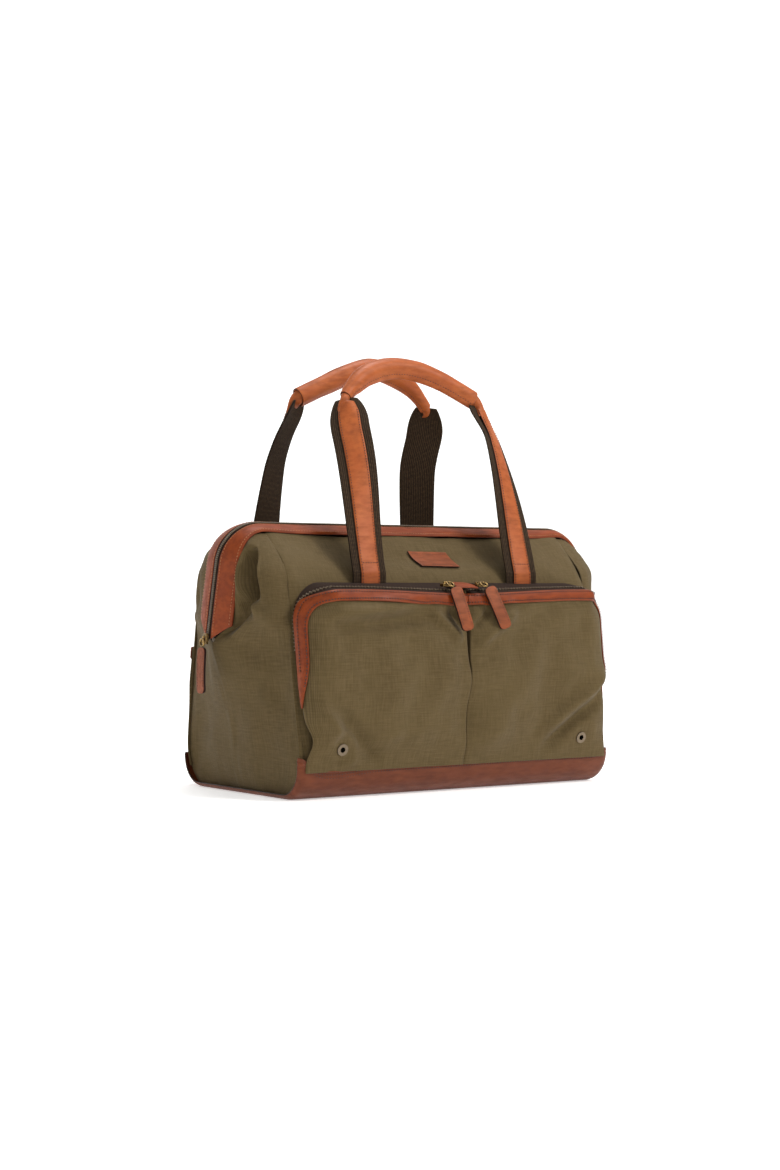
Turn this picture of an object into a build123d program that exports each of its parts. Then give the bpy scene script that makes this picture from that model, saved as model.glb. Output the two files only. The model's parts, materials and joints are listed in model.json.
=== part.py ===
"""Canvas and leather doctor bag, modelled piece by piece in millimetres.

X runs along the bag, -Y is its front, +Z is up, and the origin is the middle of the flat base on the floor.
The mouth is two steel hoops in leather facings, hinged on one pin at each end, with a zip between them.
Soft panels are plain closed solids with the true outer size.
"""

import os
from math import atan2, cos, radians, sin

from build123d import *

os.makedirs("parts", exist_ok=True)

LEFT, RIGHT = -1, 1
SIDES = {"left": LEFT, "right": RIGHT}

# Base and walls
base_length = 420
base_depth = 254
base_radius = 37
band_height = 36
band_thickness = 2.2
wall_thickness = 2.5
wall_foot = band_height + 0.3
wall_top = 243
front_rise = 30 / 184  # how far the front wall leans back for each millimetre up
back_rise = 24 / 184
end_lean = 6.9  # degrees that each end panel leans outwards
end_foot = 205.5  # from the middle to an end panel's inner face at the floor
end_top = 178
wall_half = 224
fit_gap = 0.3  # room left between neighbouring sheets
board_size = (396, 180, 3)
lining_thickness = 0.8
lining_top = 158

# Mouth: a plane that leans forward, hinged at its foot
hinge_y, hinge_z = 4, 170
mouth_lean = 13
mouth_half = 248
mouth_height = 129.3
mouth_radius = 45
teeth_half = 1.6
tape_edge = 5
facing_edge = 27
facing_thickness = 2.2
wire_radius = 2
wire_swing = 4.5  # degrees between the mouth plane and each hoop
wire_half = {"front": 238, "back": 232.2}
wire_height = 122.5
eye_radius, eye_width = 6, 5
pin_radius, pin_clearance = 2.5, 0.05

# Front pockets
pocket_half = 204
pocket_gap = 8
pocket_top = 220
pocket_round = 22
binding_width = 13
binding_foot = 98
binding_back = 126
cloth = 2
zip_y = -127
zip_z = 225
zip_rise = 0.2  # the tape climbs towards the wall by this much for each millimetre
eyelet_x, eyelet_z = 164, 54
eyelet_flange, eyelet_barrel, eyelet_hole = 6.5, 4, 3

# Back slip pocket
slip_half = 203
slip_top = 157
slip_trim = 11

# Handles
webbing_width, webbing_thickness = 44, 3
strip_width, strip_thickness = 25, 2
strap_x = 105
strap_pivot_z = 243.5
grip_radius, core_radius = 12, 8.9
handles = {
    "front": {"y": -98, "side": -1, "lean": 18.7},
    "back": {"y": 106, "side": 1, "lean": 11},
}
strap_length = 203
anchor_foot, anchor_top, anchor_thickness = 224, 238, 4
grip_half = 88
grip_foot = 212
grip_top = 246

# Zip sliders and their pulls
slider_size = (11, 9, 4.5)
pull_size = (15, 48, 2.6)
ring_radius, ring_wire = 4, 1.1
pocket_slider_x = 23
pocket_ring_lean, pocket_pull_lean = 55, 12


def front_y(z):
    """The front wall's outer face at height z."""
    return -base_depth / 2 + (z - base_radius) * front_rise


def back_y(z):
    """The back wall's outer face at height z."""
    return base_depth / 2 - (z - base_radius) * back_rise


def end_plane(side, outward=0):
    """An end panel's inner face moved outwards, with its local Y up the panel and its normal inwards."""
    lean = radians(end_lean)
    return Plane(
        origin=(side * (end_foot + outward / cos(lean)), 0, 0),
        x_dir=(0, -side, 0),
        z_dir=(-side * cos(lean), 0, sin(lean)),
    )


def hinged_plane(lean):
    """A plane through the mouth's hinge axis, with local Y up it and its normal to the front."""
    turn = radians(lean)
    return Plane(origin=(0, hinge_y, hinge_z), x_dir=(1, 0, 0), z_dir=(0, -cos(turn), -sin(turn)))


def save(block, name):
    """Names a finished piece and writes its own STEP file."""
    block.part.label = name
    export_step(block.part, f"parts/{name}.step")


def section(points, start, end):
    """Extrudes a closed outline of (y, z) points from x = start to x = end in the open part block."""
    with BuildSketch(Plane.YZ.offset(start)) as outline:
        with BuildLine():
            Polyline(*points, close=True)
        make_face()
    extrude(outline.sketch, amount=end - start)


def thick_line(outer, thickness):
    """A closed outline of a panel from its outer (y, z) line, with its thickness towards +Y or -Y."""
    return list(outer) + [(y + thickness, z) for y, z in reversed(outer)]


# ---- Base ----------------------------------------------------------------------------------------

with BuildPart() as base_leather:
    for inset, mode in ((0, Mode.ADD), (band_thickness, Mode.SUBTRACT)):
        with BuildSketch(Plane.YZ):
            with Locations((0, band_height / 2 + inset)):
                Rectangle(base_depth - 2 * inset, band_height)
            fillet(vertices().group_by(Axis.Y)[0], radius=base_radius - 2 - inset)
        extrude(amount=base_length / 2, both=True, mode=mode)
save(base_leather, "base_leather")

with BuildPart() as base_board:
    with Locations((0, 0, band_thickness + 0.1)):
        Box(*board_size, align=(Align.CENTER, Align.CENTER, Align.MIN))
    fillet(edges().filter_by(Axis.Z), radius=20)
save(base_board, "base_board")

# ---- Walls, end panels and lining -----------------------------------------------------------------

for name, wall_y, thickness in (
    ("front_wall", front_y, wall_thickness),
    ("back_wall", back_y, -wall_thickness),
):
    with BuildPart() as wall:
        section(thick_line([(wall_y(z), z) for z in (wall_foot, wall_top)], thickness), -wall_half, wall_half)
        for side in SIDES.values():
            split(bisect_by=end_plane(side, wall_thickness), keep=Keep.TOP)
    save(wall, name)

for name, side in SIDES.items():
    inside = wall_thickness + fit_gap
    outline = [
        (front_y(wall_foot) + inside, band_thickness + 0.4),
        (front_y(wall_foot) + inside, wall_foot),
        (front_y(end_top) + inside, end_top),
        (back_y(end_top) - inside, end_top),
        (back_y(wall_foot) - inside, wall_foot),
        (back_y(wall_foot) - inside, band_thickness + 0.4),
    ]
    with BuildPart() as gusset:
        with BuildSketch(end_plane(side)):
            with BuildLine():
                Polyline(*[(-side * y, z) for y, z in outline], close=True)
            make_face()
            fillet(vertices().group_by(Axis.Y)[0], radius=base_radius - 5)
        extrude(amount=-wall_thickness)
        with Locations(Location((side * 228, hinge_y, hinge_z), (0, 90, 0))):
            Cylinder(pin_radius, 40, mode=Mode.SUBTRACT)
    save(gusset, f"{name}_gusset")

    with BuildPart() as hinge_pin:
        with Locations(Location((side * 233, hinge_y, hinge_z), (0, 90, 0))):
            Cylinder(pin_radius, 19)
        for x in (222.7, 241.5):
            with Locations(Location((side * x, hinge_y, hinge_z), (0, 90, 0))):
                Cylinder(4.5, 1.6)
    save(hinge_pin, f"{name}_hinge_pin")

    fold = [(-86, 181), (-79, 240), (-52, 262), (10, 278), (60, 264), (92, 240), (98, 181)]
    with BuildPart() as upper_gusset:
        section(fold, side * 217, side * 219)
    save(upper_gusset, f"{name}_upper_gusset")

lining_gap = wall_thickness + fit_gap
with BuildPart() as lining:
    with BuildSketch(Plane.YZ) as bag_section:
        with BuildLine():
            floor_z = band_thickness + board_size[2] + 0.2
            Polyline(
                (front_y(wall_foot) + lining_gap, floor_z),
                (front_y(wall_foot) + lining_gap, wall_foot),
                (front_y(lining_top) + lining_gap, lining_top),
                (back_y(lining_top) - lining_gap, lining_top),
                (back_y(wall_foot) - lining_gap, wall_foot),
                (back_y(wall_foot) - lining_gap, floor_z),
                close=True,
            )
        make_face()
        fillet(vertices().group_by(Axis.Y)[0], radius=base_radius - 7)
    extrude(amount=end_foot - 0.5, both=True)
    offset(amount=-lining_thickness, openings=faces().sort_by(Axis.Z)[-1])
save(lining, "lining")

# ---- Front pockets --------------------------------------------------------------------------------

pocket_line = [(-131, 40), (-142, 84), (-145, 130), (-143, 180), (-139, pocket_top)]


def eyelet_plane(side):
    """The pocket's outer face at an eyelet, in the lowest stretch of its line, with the normal outwards."""
    (foot_y, foot_z), (next_y, next_z) = pocket_line[:2]
    slope = atan2(foot_y - next_y, next_z - foot_z)
    y = foot_y + (eyelet_z - foot_z) * (next_y - foot_y) / (next_z - foot_z)
    return Plane(origin=(side * eyelet_x, y, eyelet_z), x_dir=(1, 0, 0), z_dir=(0, -cos(slope), -sin(slope)))


def pocket_edge(side, margin, foot, top_round):
    """The pocket's face seen from the front, less a margin at its top and outer side."""
    width, height = pocket_half - margin, pocket_top - margin
    with Locations((side * width / 2, (height + foot) / 2)):
        Rectangle(width, height - foot)
    corner = vertices().group_by(Axis.Y)[-1].sort_by(Axis.X)[-1 if side > 0 else 0]
    fillet(corner, radius=top_round)


for name, side in SIDES.items():
    near, far = sorted((side * pocket_gap, side * pocket_half))
    wall_gap = [(front_y(z) - 0.2, z) for z in (46, pocket_top - 2)]
    web = [(y + 0.5, z) for y, z in pocket_line[:-1]] + [(pocket_line[-1][0] + 0.5, pocket_top - 2)]
    with BuildPart() as pocket_panel:
        section(thick_line(pocket_line, cloth), near, far)
        for x in (side * pocket_gap, side * (pocket_half - 1.5)):
            section([*web, *reversed(wall_gap)], x, x + side * 1.5)
        with BuildSketch(Plane.XZ):
            pocket_edge(side, 0, 30, pocket_round)
        extrude(amount=200, mode=Mode.INTERSECT)
        with BuildSketch(eyelet_plane(side).offset(-8)):
            Circle(eyelet_barrel + 0.05)
        extrude(amount=12, mode=Mode.SUBTRACT)
    for part_name, mode in ((f"{name}_pocket_panel", Mode.SUBTRACT), (f"{name}_pocket_binding", Mode.INTERSECT)):
        with BuildPart() as piece:
            add(pocket_panel.part)
            with BuildSketch(Plane.XZ.offset(binding_back)):
                pocket_edge(side, -40, binding_foot, 1)
                with BuildSketch(mode=Mode.SUBTRACT):
                    pocket_edge(side, binding_width, 0, pocket_round - binding_width)
            extrude(amount=80, mode=mode)
        save(piece, part_name)

    tape_near, tape_far = sorted((side * pocket_gap, side * (pocket_half - 12)))
    with BuildPart() as zip_tape:
        for low, high in ((-138, zip_y - 2), (zip_y + 2, -100.5)):
            line = [(y, zip_z - 1 + (y - zip_y) * zip_rise) for y in (low, high)]
            section(line + [(y, z + 1) for y, z in reversed(line)], tape_near, tape_far)
    save(zip_tape, f"{name}_pocket_zip_tape")

    with BuildPart() as teeth:
        y, z = zip_y, zip_z
        section([(y - 2, z - 1.4), (y + 2, z - 1.4), (y + 2, z + 1), (y - 2, z + 1)], tape_near, tape_far)
    save(teeth, f"{name}_pocket_teeth")

with BuildPart() as pocket_pleat:
    fold_line = [(y + 9, z) for y, z in pocket_line[1:-1]]
    section(thick_line([(front_y(48) - 5, 48), *fold_line, (-130, 216)], cloth), -7.6, 7.6)
save(pocket_pleat, "pocket_pleat")

with BuildPart() as zip_bridge:
    section([(-138, 224.2), (-113, 229.4), (-113, 231.2), (-138, 226)], -13, 13)
    fillet(edges().filter_by(Axis.Z), radius=3)
save(zip_bridge, "pocket_zip_bridge")

with BuildPart() as eyelets:
    for side in SIDES.values():
        plane = eyelet_plane(side)
        with BuildSketch(plane.offset(0.05)):
            Circle(eyelet_flange)
        extrude(amount=1.2)
        with BuildSketch(plane.offset(-4)):
            Circle(eyelet_barrel)
        extrude(amount=4.5)
        with BuildSketch(plane.offset(-5)):
            Circle(eyelet_hole)
        extrude(amount=8, mode=Mode.SUBTRACT)
save(eyelets, "vent_eyelets")

# ---- Back slip pocket -----------------------------------------------------------------------------

slip_line = [(131, 42), (142, 68), (143, 118), (136, slip_top)]
with BuildPart() as slip_pocket:
    section(thick_line(slip_line, -cloth), -slip_half, slip_half)
    web = [(y - 0.5, z) for y, z in slip_line]
    wall_gap = [(back_y(z) + 0.2, z) for z in (46, slip_top)]
    for side in SIDES.values():
        section([*web, *reversed(wall_gap)], side * (slip_half - 1.5), side * slip_half)
for name, keep in (("back_pocket_panel", Keep.BOTTOM), ("back_pocket_trim", Keep.TOP)):
    with BuildPart() as piece:
        add(slip_pocket.part)
        split(bisect_by=Plane.XY.offset(slip_top - slip_trim), keep=keep)
    save(piece, name)

# ---- Mouth: hoops, facings, zip and soft upper panels ---------------------------------------------


def mouth_outline(plane, half, height, radius):
    """The mouth's arch as a closed face that runs below the hinge."""
    with BuildSketch(plane) as arch_face:
        with BuildLine():
            Polyline((-half, -40), (-half, height), (half, height), (half, -40), close=True)
        make_face()
        fillet(vertices().group_by(Axis.Y)[-1], radius=radius)
    return arch_face.sketch


def mouth_band(face, start, end, thickness, proud=0, drop_side=0, drop_top=0):
    """A band along the arch, from start to end off the mouth plane; it falls away by the drops at its far edge."""
    mouth = hinged_plane(mouth_lean)
    for inset, mode in ((-proud, Mode.ADD), (thickness - proud, Mode.SUBTRACT)):
        half, height, radius = mouth_half - inset, mouth_height - inset, mouth_radius - inset
        near, far = (start, end) if mode == Mode.ADD else (start - 0.5, end + 0.5)
        slope_side, slope_top = drop_side / (end - start), drop_top / (end - start)
        ends = []
        for b in (near, far):
            side_in, top_in = (b - start) * slope_side, (b - start) * slope_top
            ends.append(mouth_outline(mouth.offset(face * b), half - side_in, height - top_in, radius - side_in))
        loft(sections=ends, ruled=True, mode=mode)
    split(bisect_by=foot_plane(face, start, end), keep=Keep.TOP)


def foot_plane(face, start, end):
    """Cuts a band's foot: square when it is narrow, and rising outwards when it is a facing."""
    rise = 20 if end - start > 10 else 0
    turn = radians(mouth_lean)
    up, forward = Vector(0, -sin(turn), cos(turn)), Vector(0, -cos(turn), -sin(turn)) * face
    across = forward * (end - start) + up * rise
    normal = Vector(1, 0, 0).cross(across) * face
    normal = normal if normal.dot(up) > 0 else normal * -1
    return Plane(origin=Vector(0, hinge_y, hinge_z) + forward * start, x_dir=(1, 0, 0), z_dir=normal)


for name, face in (("front", 1), ("back", -1)):
    drop_side, drop_top = (11, 5) if name == "front" else (3, 8.4)
    with BuildPart() as facing:
        mouth_band(face, tape_edge, facing_edge, facing_thickness, 0, drop_side, drop_top)
    save(facing, f"{name}_facing")

    with BuildPart() as mouth_tape:
        mouth_band(face, teeth_half + 0.05, tape_edge - 0.05, 1)
    save(mouth_tape, f"{name}_mouth_tape")

    with BuildPart() as mouth_teeth:
        mouth_band(face, 0.05, teeth_half, 2.2, 0.8)
    save(mouth_teeth, f"{name}_mouth_teeth")

    half = wire_half[name]
    hoop = hinged_plane(mouth_lean + face * wire_swing)
    with BuildPart() as frame_wire:
        with BuildLine(hoop):
            FilletPolyline(
                (-half, 4), (-half, wire_height), (half, wire_height), (half, 4),
                radius=mouth_radius - 10,
            )
        with BuildSketch(Plane(hoop.from_local_coords((-half, 4, 0)), z_dir=hoop.y_dir)):
            Circle(wire_radius)
        sweep()
        for side in SIDES.values():
            with Locations(Location((side * half, hinge_y, hinge_z), (0, 90, 0))):
                Cylinder(eye_radius, eye_width)
                Cylinder(pin_radius + pin_clearance, eye_width + 2, mode=Mode.SUBTRACT)
    save(frame_wire, f"{name}_frame_wire")

upper_front_line = [(-92.4, 243.8), (-82, 246.5), (-52, 270), (-53, 280)]
with BuildPart() as front_upper_panel:
    section(thick_line(upper_front_line, cloth), -214, 214)
save(front_upper_panel, "front_upper_panel")

upper_back_line = [(98, 246), (80, 266), (42, 284), (6.5, 291)]
with BuildPart() as back_upper_panel:
    section(upper_back_line + [(y - 1, z - cloth) for y, z in reversed(upper_back_line)], -214, 214)
save(back_upper_panel, "back_upper_panel")

label_slope = atan2(270 - 246.5, 82 - 52)
label_plane = Plane(
    origin=(0, -67, 258.25), x_dir=(1, 0, 0), z_dir=(0, -sin(label_slope), cos(label_slope))
)
with BuildPart() as label:
    with BuildSketch(label_plane.offset(0.1)):
        with BuildLine():
            Polyline((-29, -10), (25, -10), (29, 10), (-25, 10), close=True)
        make_face()
        fillet(vertices(), radius=2.5)
    extrude(amount=2)
save(label, "plain_label")

# ---- Handles --------------------------------------------------------------------------------------

for name, handle in handles.items():
    facing_out, turn = handle["side"], radians(handle["lean"])
    leg = Plane(
        origin=(0, handle["y"], strap_pivot_z),
        x_dir=(1, 0, 0),
        z_dir=(0, -cos(turn), -facing_out * sin(turn)),
    )
    to_out = -facing_out  # the plane's normal points to the front; this turns an offset to the handle's outside
    wall_y = front_y if name == "front" else back_y

    with BuildPart() as anchors:
        for x in (-strap_x, strap_x):
            line = [(wall_y(z) + facing_out * 0.1, z) for z in (anchor_foot, anchor_top)]
            low, high = x - webbing_width / 2, x + webbing_width / 2
            section(thick_line(line, facing_out * anchor_thickness), low, high)
    save(anchors, f"{name}_handle_anchors")

    for side_name, side in SIDES.items():
        with BuildPart() as strap:
            with BuildSketch(leg.offset(-webbing_thickness / 2)):
                with BuildLine():
                    half = webbing_width / 2
                    Polyline(
                        (side * (strap_x - half), 0),
                        (side * (strap_x + half), 0),
                        (side * (strap_x + half - 2), strap_length - 20),
                        (side * (grip_half + 12), strap_length),
                        (side * (grip_half - 6), strap_length),
                        (side * (strap_x - half - 2), strap_length - 20),
                        close=True,
                    )
                make_face()
            extrude(amount=webbing_thickness)
            with Locations(Location((side * strap_x, handle["y"], strap_pivot_z), (0, 90, 0))):
                Cylinder(webbing_thickness / 2, webbing_width)
        save(strap, f"{name}_{side_name}_strap")

        with BuildPart() as strip:
            inner_face = webbing_thickness / 2 + 0.05
            with BuildSketch(leg.offset(to_out * inner_face)):
                with Locations((side * (strap_x - 1), (strap_length - 20) / 2 + 3)):
                    Rectangle(strip_width, strap_length - 26)
            extrude(amount=to_out * strip_thickness)
        save(strip, f"{name}_{side_name}_strip")

    for part_name, radius, bore in (("grip", grip_radius, core_radius + 0.1), ("grip_core", core_radius, 0)):
        with BuildPart() as grip:
            ends = [(x, grip_foot) for x in (-grip_half, grip_half)]
            with BuildLine(leg) as grip_line:
                ThreePointArc(ends[0], (0, grip_top), ends[1])
            start, direction = grip_line.line @ 0, grip_line.line % 0
            with BuildSketch(Plane(start, z_dir=direction)):
                Circle(radius)
                if bore:
                    Circle(bore, mode=Mode.SUBTRACT)
            sweep()
        save(grip, f"{name}_{part_name}")

# ---- Zip sliders and pulls ------------------------------------------------------------------------

across, along, deep = slider_size
pull_width, pull_length, pull_thickness = pull_size

mouth_slider_x = -(mouth_half + 1.1)
with BuildPart() as mouth_slider:
    with Locations((mouth_slider_x - deep / 2, hinge_y, hinge_z)):
        Box(deep, along, across + 2)
    fillet(edges().filter_by(Axis.X), radius=2)
save(mouth_slider, "mouth_slider")

ring_x = mouth_slider_x - deep - 1.6
with BuildPart() as mouth_ring:
    with Locations(Location((ring_x, hinge_y, hinge_z - ring_radius), (0, 90, 0))):
        Torus(ring_radius, ring_wire)
save(mouth_ring, "mouth_pull_ring")

with BuildPart() as mouth_pull:
    top_z = hinge_z - 2 * ring_radius - 1.5
    with Locations((ring_x, hinge_y, top_z - pull_length / 2)):
        Box(pull_thickness, pull_width, pull_length)
    fillet(edges().filter_by(Axis.X), radius=5)
save(mouth_pull, "mouth_pull")

slider_top = zip_z + 1.2 + deep


def hanging_plane(pivot, lean):
    """A plane that hangs from a pivot and leans outwards, with its normal to the front."""
    turn = radians(lean)
    return Plane(origin=pivot, x_dir=(1, 0, 0), z_dir=(0, -cos(turn), sin(turn)))


for name, side in SIDES.items():
    x = side * pocket_slider_x
    with BuildPart() as pocket_slider:
        with Locations((x, zip_y, slider_top - deep / 2)):
            Box(across, along, deep)
        fillet(edges().filter_by(Axis.Z), radius=2)
    save(pocket_slider, f"{name}_pocket_slider")

    pivot = Vector(x, zip_y - along / 2 - 1.2, slider_top + 0.8)
    ring_plane, pull_plane = hanging_plane(pivot, pocket_ring_lean), hanging_plane(pivot, pocket_pull_lean)
    with BuildPart() as pull_ring:
        with Locations(ring_plane.location * Location((0, -ring_radius, 0))):
            Torus(ring_radius, ring_wire)
    save(pull_ring, f"{name}_pocket_pull_ring")

    with BuildPart() as pocket_pull:
        with BuildSketch(pull_plane.offset(7.5)):
            with Locations((0, -2 * ring_radius + 1 - pull_length / 2)):
                RectangleRounded(pull_width, pull_length, 5)
        extrude(amount=pull_thickness)
    save(pocket_pull, f"{name}_pocket_pull")
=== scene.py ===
# %% [markdown]
# # A canvas doctor bag with leather trim
# The bag is olive cotton canvas over a leather base, with a zip mouth that opens on two hidden steel hoops.
# The imported model gives every place and every moving body. This script makes the cloth, leather and metal that
# are seen, and ties most pieces to the body that they move with; the front and back panels, the hoods, the handle
# webbing and strips with their stitches, and the label with its stitches are baked in place and tied to no body.

# %% Load the frame
import json
import math

import bmesh
import bpy
from mathutils import Matrix, Vector, noise

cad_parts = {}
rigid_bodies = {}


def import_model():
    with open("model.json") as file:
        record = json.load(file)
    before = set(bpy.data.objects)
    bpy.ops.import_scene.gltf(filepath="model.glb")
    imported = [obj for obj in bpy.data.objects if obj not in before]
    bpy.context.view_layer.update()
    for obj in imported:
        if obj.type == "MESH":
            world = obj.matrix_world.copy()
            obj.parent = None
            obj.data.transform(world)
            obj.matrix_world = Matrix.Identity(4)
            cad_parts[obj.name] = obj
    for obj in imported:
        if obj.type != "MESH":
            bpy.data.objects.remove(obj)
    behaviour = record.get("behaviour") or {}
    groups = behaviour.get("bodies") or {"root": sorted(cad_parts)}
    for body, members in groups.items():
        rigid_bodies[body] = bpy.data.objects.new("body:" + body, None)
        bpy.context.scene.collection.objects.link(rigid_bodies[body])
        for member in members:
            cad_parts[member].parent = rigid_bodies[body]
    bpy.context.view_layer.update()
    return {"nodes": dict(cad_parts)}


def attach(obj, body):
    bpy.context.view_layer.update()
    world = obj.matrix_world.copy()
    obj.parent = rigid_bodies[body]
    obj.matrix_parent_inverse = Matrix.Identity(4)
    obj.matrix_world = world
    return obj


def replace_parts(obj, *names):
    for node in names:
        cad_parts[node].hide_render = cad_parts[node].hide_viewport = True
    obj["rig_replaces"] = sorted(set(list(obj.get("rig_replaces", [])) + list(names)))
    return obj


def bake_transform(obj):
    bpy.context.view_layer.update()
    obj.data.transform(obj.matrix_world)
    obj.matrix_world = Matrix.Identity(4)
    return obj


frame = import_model()
MM = 0.001
SIDES = {"left": -1, "right": 1}
FACES = {"front": -1, "back": 1}

# %% [markdown]
# ## Helpers for shapes
# Cloth and leather start flat, so most pieces here start as a flat grid too. A function says where each spot of
# the grid lies on the bag, from 0 to 1 across it and 0 to 1 up it. The grid keeps a UV map in metres, measured on
# the flat cloth, so that weave and ribs keep their real size on every piece.

# %% Smooth lines and steps
def smooth(value, low=0.0, high=1.0):
    """0 below low, 1 above high, and an even S between them."""
    t = min(1.0, max(0.0, (value - low) / (high - low)))
    return t * t * (3 - 2 * t)


def hump(value, middle, width):
    """A bell of height 1."""
    return math.exp(-(((value - middle) / width) ** 2))


def through(knots):
    """A smooth line through the knots, in even steps from one knot to the next, as a function of 0 to 1."""
    knots = [Vector(k) for k in knots]
    ends = [2 * knots[0] - knots[1], *knots, 2 * knots[-1] - knots[-2]]

    def at(t):
        t = min(1.0, max(0.0, t)) * (len(knots) - 1)
        k = min(int(t), len(knots) - 2)
        t -= k
        a, b, c, d = ends[k : k + 4]
        return 0.5 * (2 * b + (c - a) * t + (2 * a - 5 * b + 4 * c - d) * t**2 + (3 * b - a - 3 * c + d) * t**3)

    return at


FINE_STEPS = 400


def even(line, count, start=0.0, end=1.0):
    """Values of t that divide a line's length evenly, and the length."""
    fine = [start + (end - start) * k / FINE_STEPS for k in range(FINE_STEPS + 1)]
    spots = [line(t) for t in fine]
    run = [0.0]
    for a, b in zip(spots, spots[1:]):
        run.append(run[-1] + (b - a).length)
    found, k = [], 0
    for n in range(count + 1):
        goal = run[-1] * n / count
        while k < FINE_STEPS - 1 and run[k + 1] < goal:
            k += 1
        share = (goal - run[k]) / max(run[k + 1] - run[k], 1e-12)
        found.append(fine[k] + (fine[k + 1] - fine[k]) * share)
    return found, run[-1]


def crumple(spot, size, depth, seed=0):
    """Soft unevenness of handled cloth at a spot in millimetres."""
    return noise.noise(Vector(spot) / size + Vector((seed * 7.3, seed * 3.1, 0))) * depth


# %% Grids, tubes and finished pieces
def laid_grid(place, columns, rows, size, closed=False):
    """A flat grid whose spots place(u, v) lays; size is its flat width and height, all in millimetres."""
    bm = bmesh.new()
    bmesh.ops.create_grid(bm, x_segments=columns, y_segments=rows, size=0.5)
    cloth = bm.loops.layers.uv.new("cloth")
    for face in bm.faces:
        for loop in face.loops:
            spot = loop.vert.co
            loop[cloth].uv = ((spot.x + 0.5) * size[0] * MM, (spot.y + 0.5) * size[1] * MM)
    for vert in bm.verts:
        vert.co = Vector(place(vert.co.x + 0.5, vert.co.y + 0.5)) * MM
    if closed:
        bmesh.ops.remove_doubles(bm, verts=bm.verts, dist=0.01 * MM)
    return bm


def piece(name, bm, *materials, thick=0.0, offset=-1.0, levels=0, bevel=0.0, within=None):
    """A finished object from a bmesh. An open sheet's faces turn away from within, a point in millimetres."""
    if within is None:
        bmesh.ops.recalc_face_normals(bm, faces=bm.faces)
    else:
        bm.normal_update()
        inside = Vector(within) * MM
        turned = sum((f.calc_center_median() - inside).dot(f.normal) * f.calc_area() for f in bm.faces)
        if turned < 0:
            bmesh.ops.reverse_faces(bm, faces=bm.faces)
    mesh = bpy.data.meshes.new(name)
    bm.to_mesh(mesh)
    bm.free()
    made = bpy.data.objects.new(name, mesh)
    bpy.context.scene.collection.objects.link(made)
    for material in materials:
        mesh.materials.append(material)
    mesh.shade_smooth()
    if thick:
        wall = made.modifiers.new("thickness", "SOLIDIFY")
        wall.thickness, wall.offset = thick * MM, offset
        wall.use_even_offset = False
        if len(materials) > 1:
            wall.material_offset = 1
    if bevel:
        edge = made.modifiers.new("edges", "BEVEL")
        edge.width, edge.segments, edge.limit_method = bevel * MM, 2, "ANGLE"
    if levels:
        soft = made.modifiers.new("soft", "SUBSURF")
        soft.levels = soft.render_levels = levels
    return made


def dark_edged(made):
    """Leather whose cut edge shows its second material."""
    made.modifiers["thickness"].material_offset = 0
    made.modifiers["thickness"].material_offset_rim = 1


def on_surface(place, u, v):
    """The spot and the normal of a laid surface."""
    step = 0.002
    spot = Vector(place(u, v))
    along = Vector(place(u + step, v)) - Vector(place(u - step, v))
    up = Vector(place(u, v + step)) - Vector(place(u, v - step))
    return spot, along.cross(up).normalized()


STITCH_FILL, THREAD_FLATNESS = 0.68, 0.7  # a stitch's share of its pitch, and its height over its width


def sew(bm, line, pitch, width, start=0.0, end=1.0):
    """Adds a row of stitches along line(t), which gives a spot and a normal."""
    count = max(1, round(even(lambda t: Vector(line(t)[0]), 1, start, end)[1] / pitch))
    stops, length = even(lambda t: Vector(line(t)[0]), count * 2, start, end)
    for k in range(1, count * 2, 2):
        spot, normal = line(stops[k])
        ahead = Vector(line(stops[k + 1])[0]) - Vector(line(stops[k - 1])[0])
        ahead.normalize()
        across = normal.cross(ahead).normalized()
        turn = Matrix((ahead, across, ahead.cross(across))).transposed().to_4x4()
        size = Matrix.Diagonal((length / count * STITCH_FILL * MM, width * MM, width * THREAD_FLATNESS * MM, 1))
        bmesh.ops.create_icosphere(
            bm, subdivisions=1, radius=0.5, matrix=Matrix.Translation(Vector(spot) * MM) @ turn @ size
        )


# %% [markdown]
# ## Materials
# Each finish is named for what it is made of. Colours are written as sRGB hex values and turned to linear light.
# Patterns read the cloth's own UV map, or Object coordinates where a finish has no direction.

# %% Nodes and colours
def linear(hex_colour):
    """Linear RGBA from an sRGB hex colour."""
    parts = [int(hex_colour[k : k + 2], 16) / 255 for k in (0, 2, 4)]
    return [c / 12.92 if c <= 0.04045 else ((c + 0.055) / 1.055) ** 2.4 for c in parts] + [1.0]


def plug(tree, node, inputs):
    """Sets a node's inputs; each is a value or another node's output."""
    for key, value in inputs.items():
        if isinstance(value, bpy.types.NodeSocket):
            tree.links.new(value, node.inputs[key])
        else:
            node.inputs[key].default_value = value


def add_node(tree, kind, inputs=None, **settings):
    """Adds one node with its settings and inputs."""
    made = tree.nodes.new(kind)
    for key, value in settings.items():
        setattr(made, key, value)
    plug(tree, made, inputs or {})
    return made


def new_material(name):
    """An empty material, its tree, its surface shader and its coordinates."""
    material = bpy.data.materials.new(name)
    material.use_nodes = True
    tree = material.node_tree
    tree.nodes.clear()
    shader = add_node(tree, "ShaderNodeBsdfPrincipled")
    add_node(tree, "ShaderNodeOutputMaterial", {"Surface": shader.outputs[0]})
    return material, tree, shader, add_node(tree, "ShaderNodeTexCoord")


def mixed(tree, factor, low, high):
    """A colour between low and high."""
    made = add_node(tree, "ShaderNodeMix", {0: factor, 6: low, 7: high}, data_type="RGBA")
    return made.outputs[2]


def combined(tree, operation, one, other):
    """Two values added or multiplied."""
    return add_node(tree, "ShaderNodeMath", {0: one, 1: other}, operation=operation).outputs[0]


def raised(tree, height, strength, depth_mm):
    """A normal bumped by a height."""
    made = add_node(tree, "ShaderNodeBump", {"Height": height, "Strength": strength, "Distance": depth_mm * MM})
    return made.outputs[0]


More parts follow.
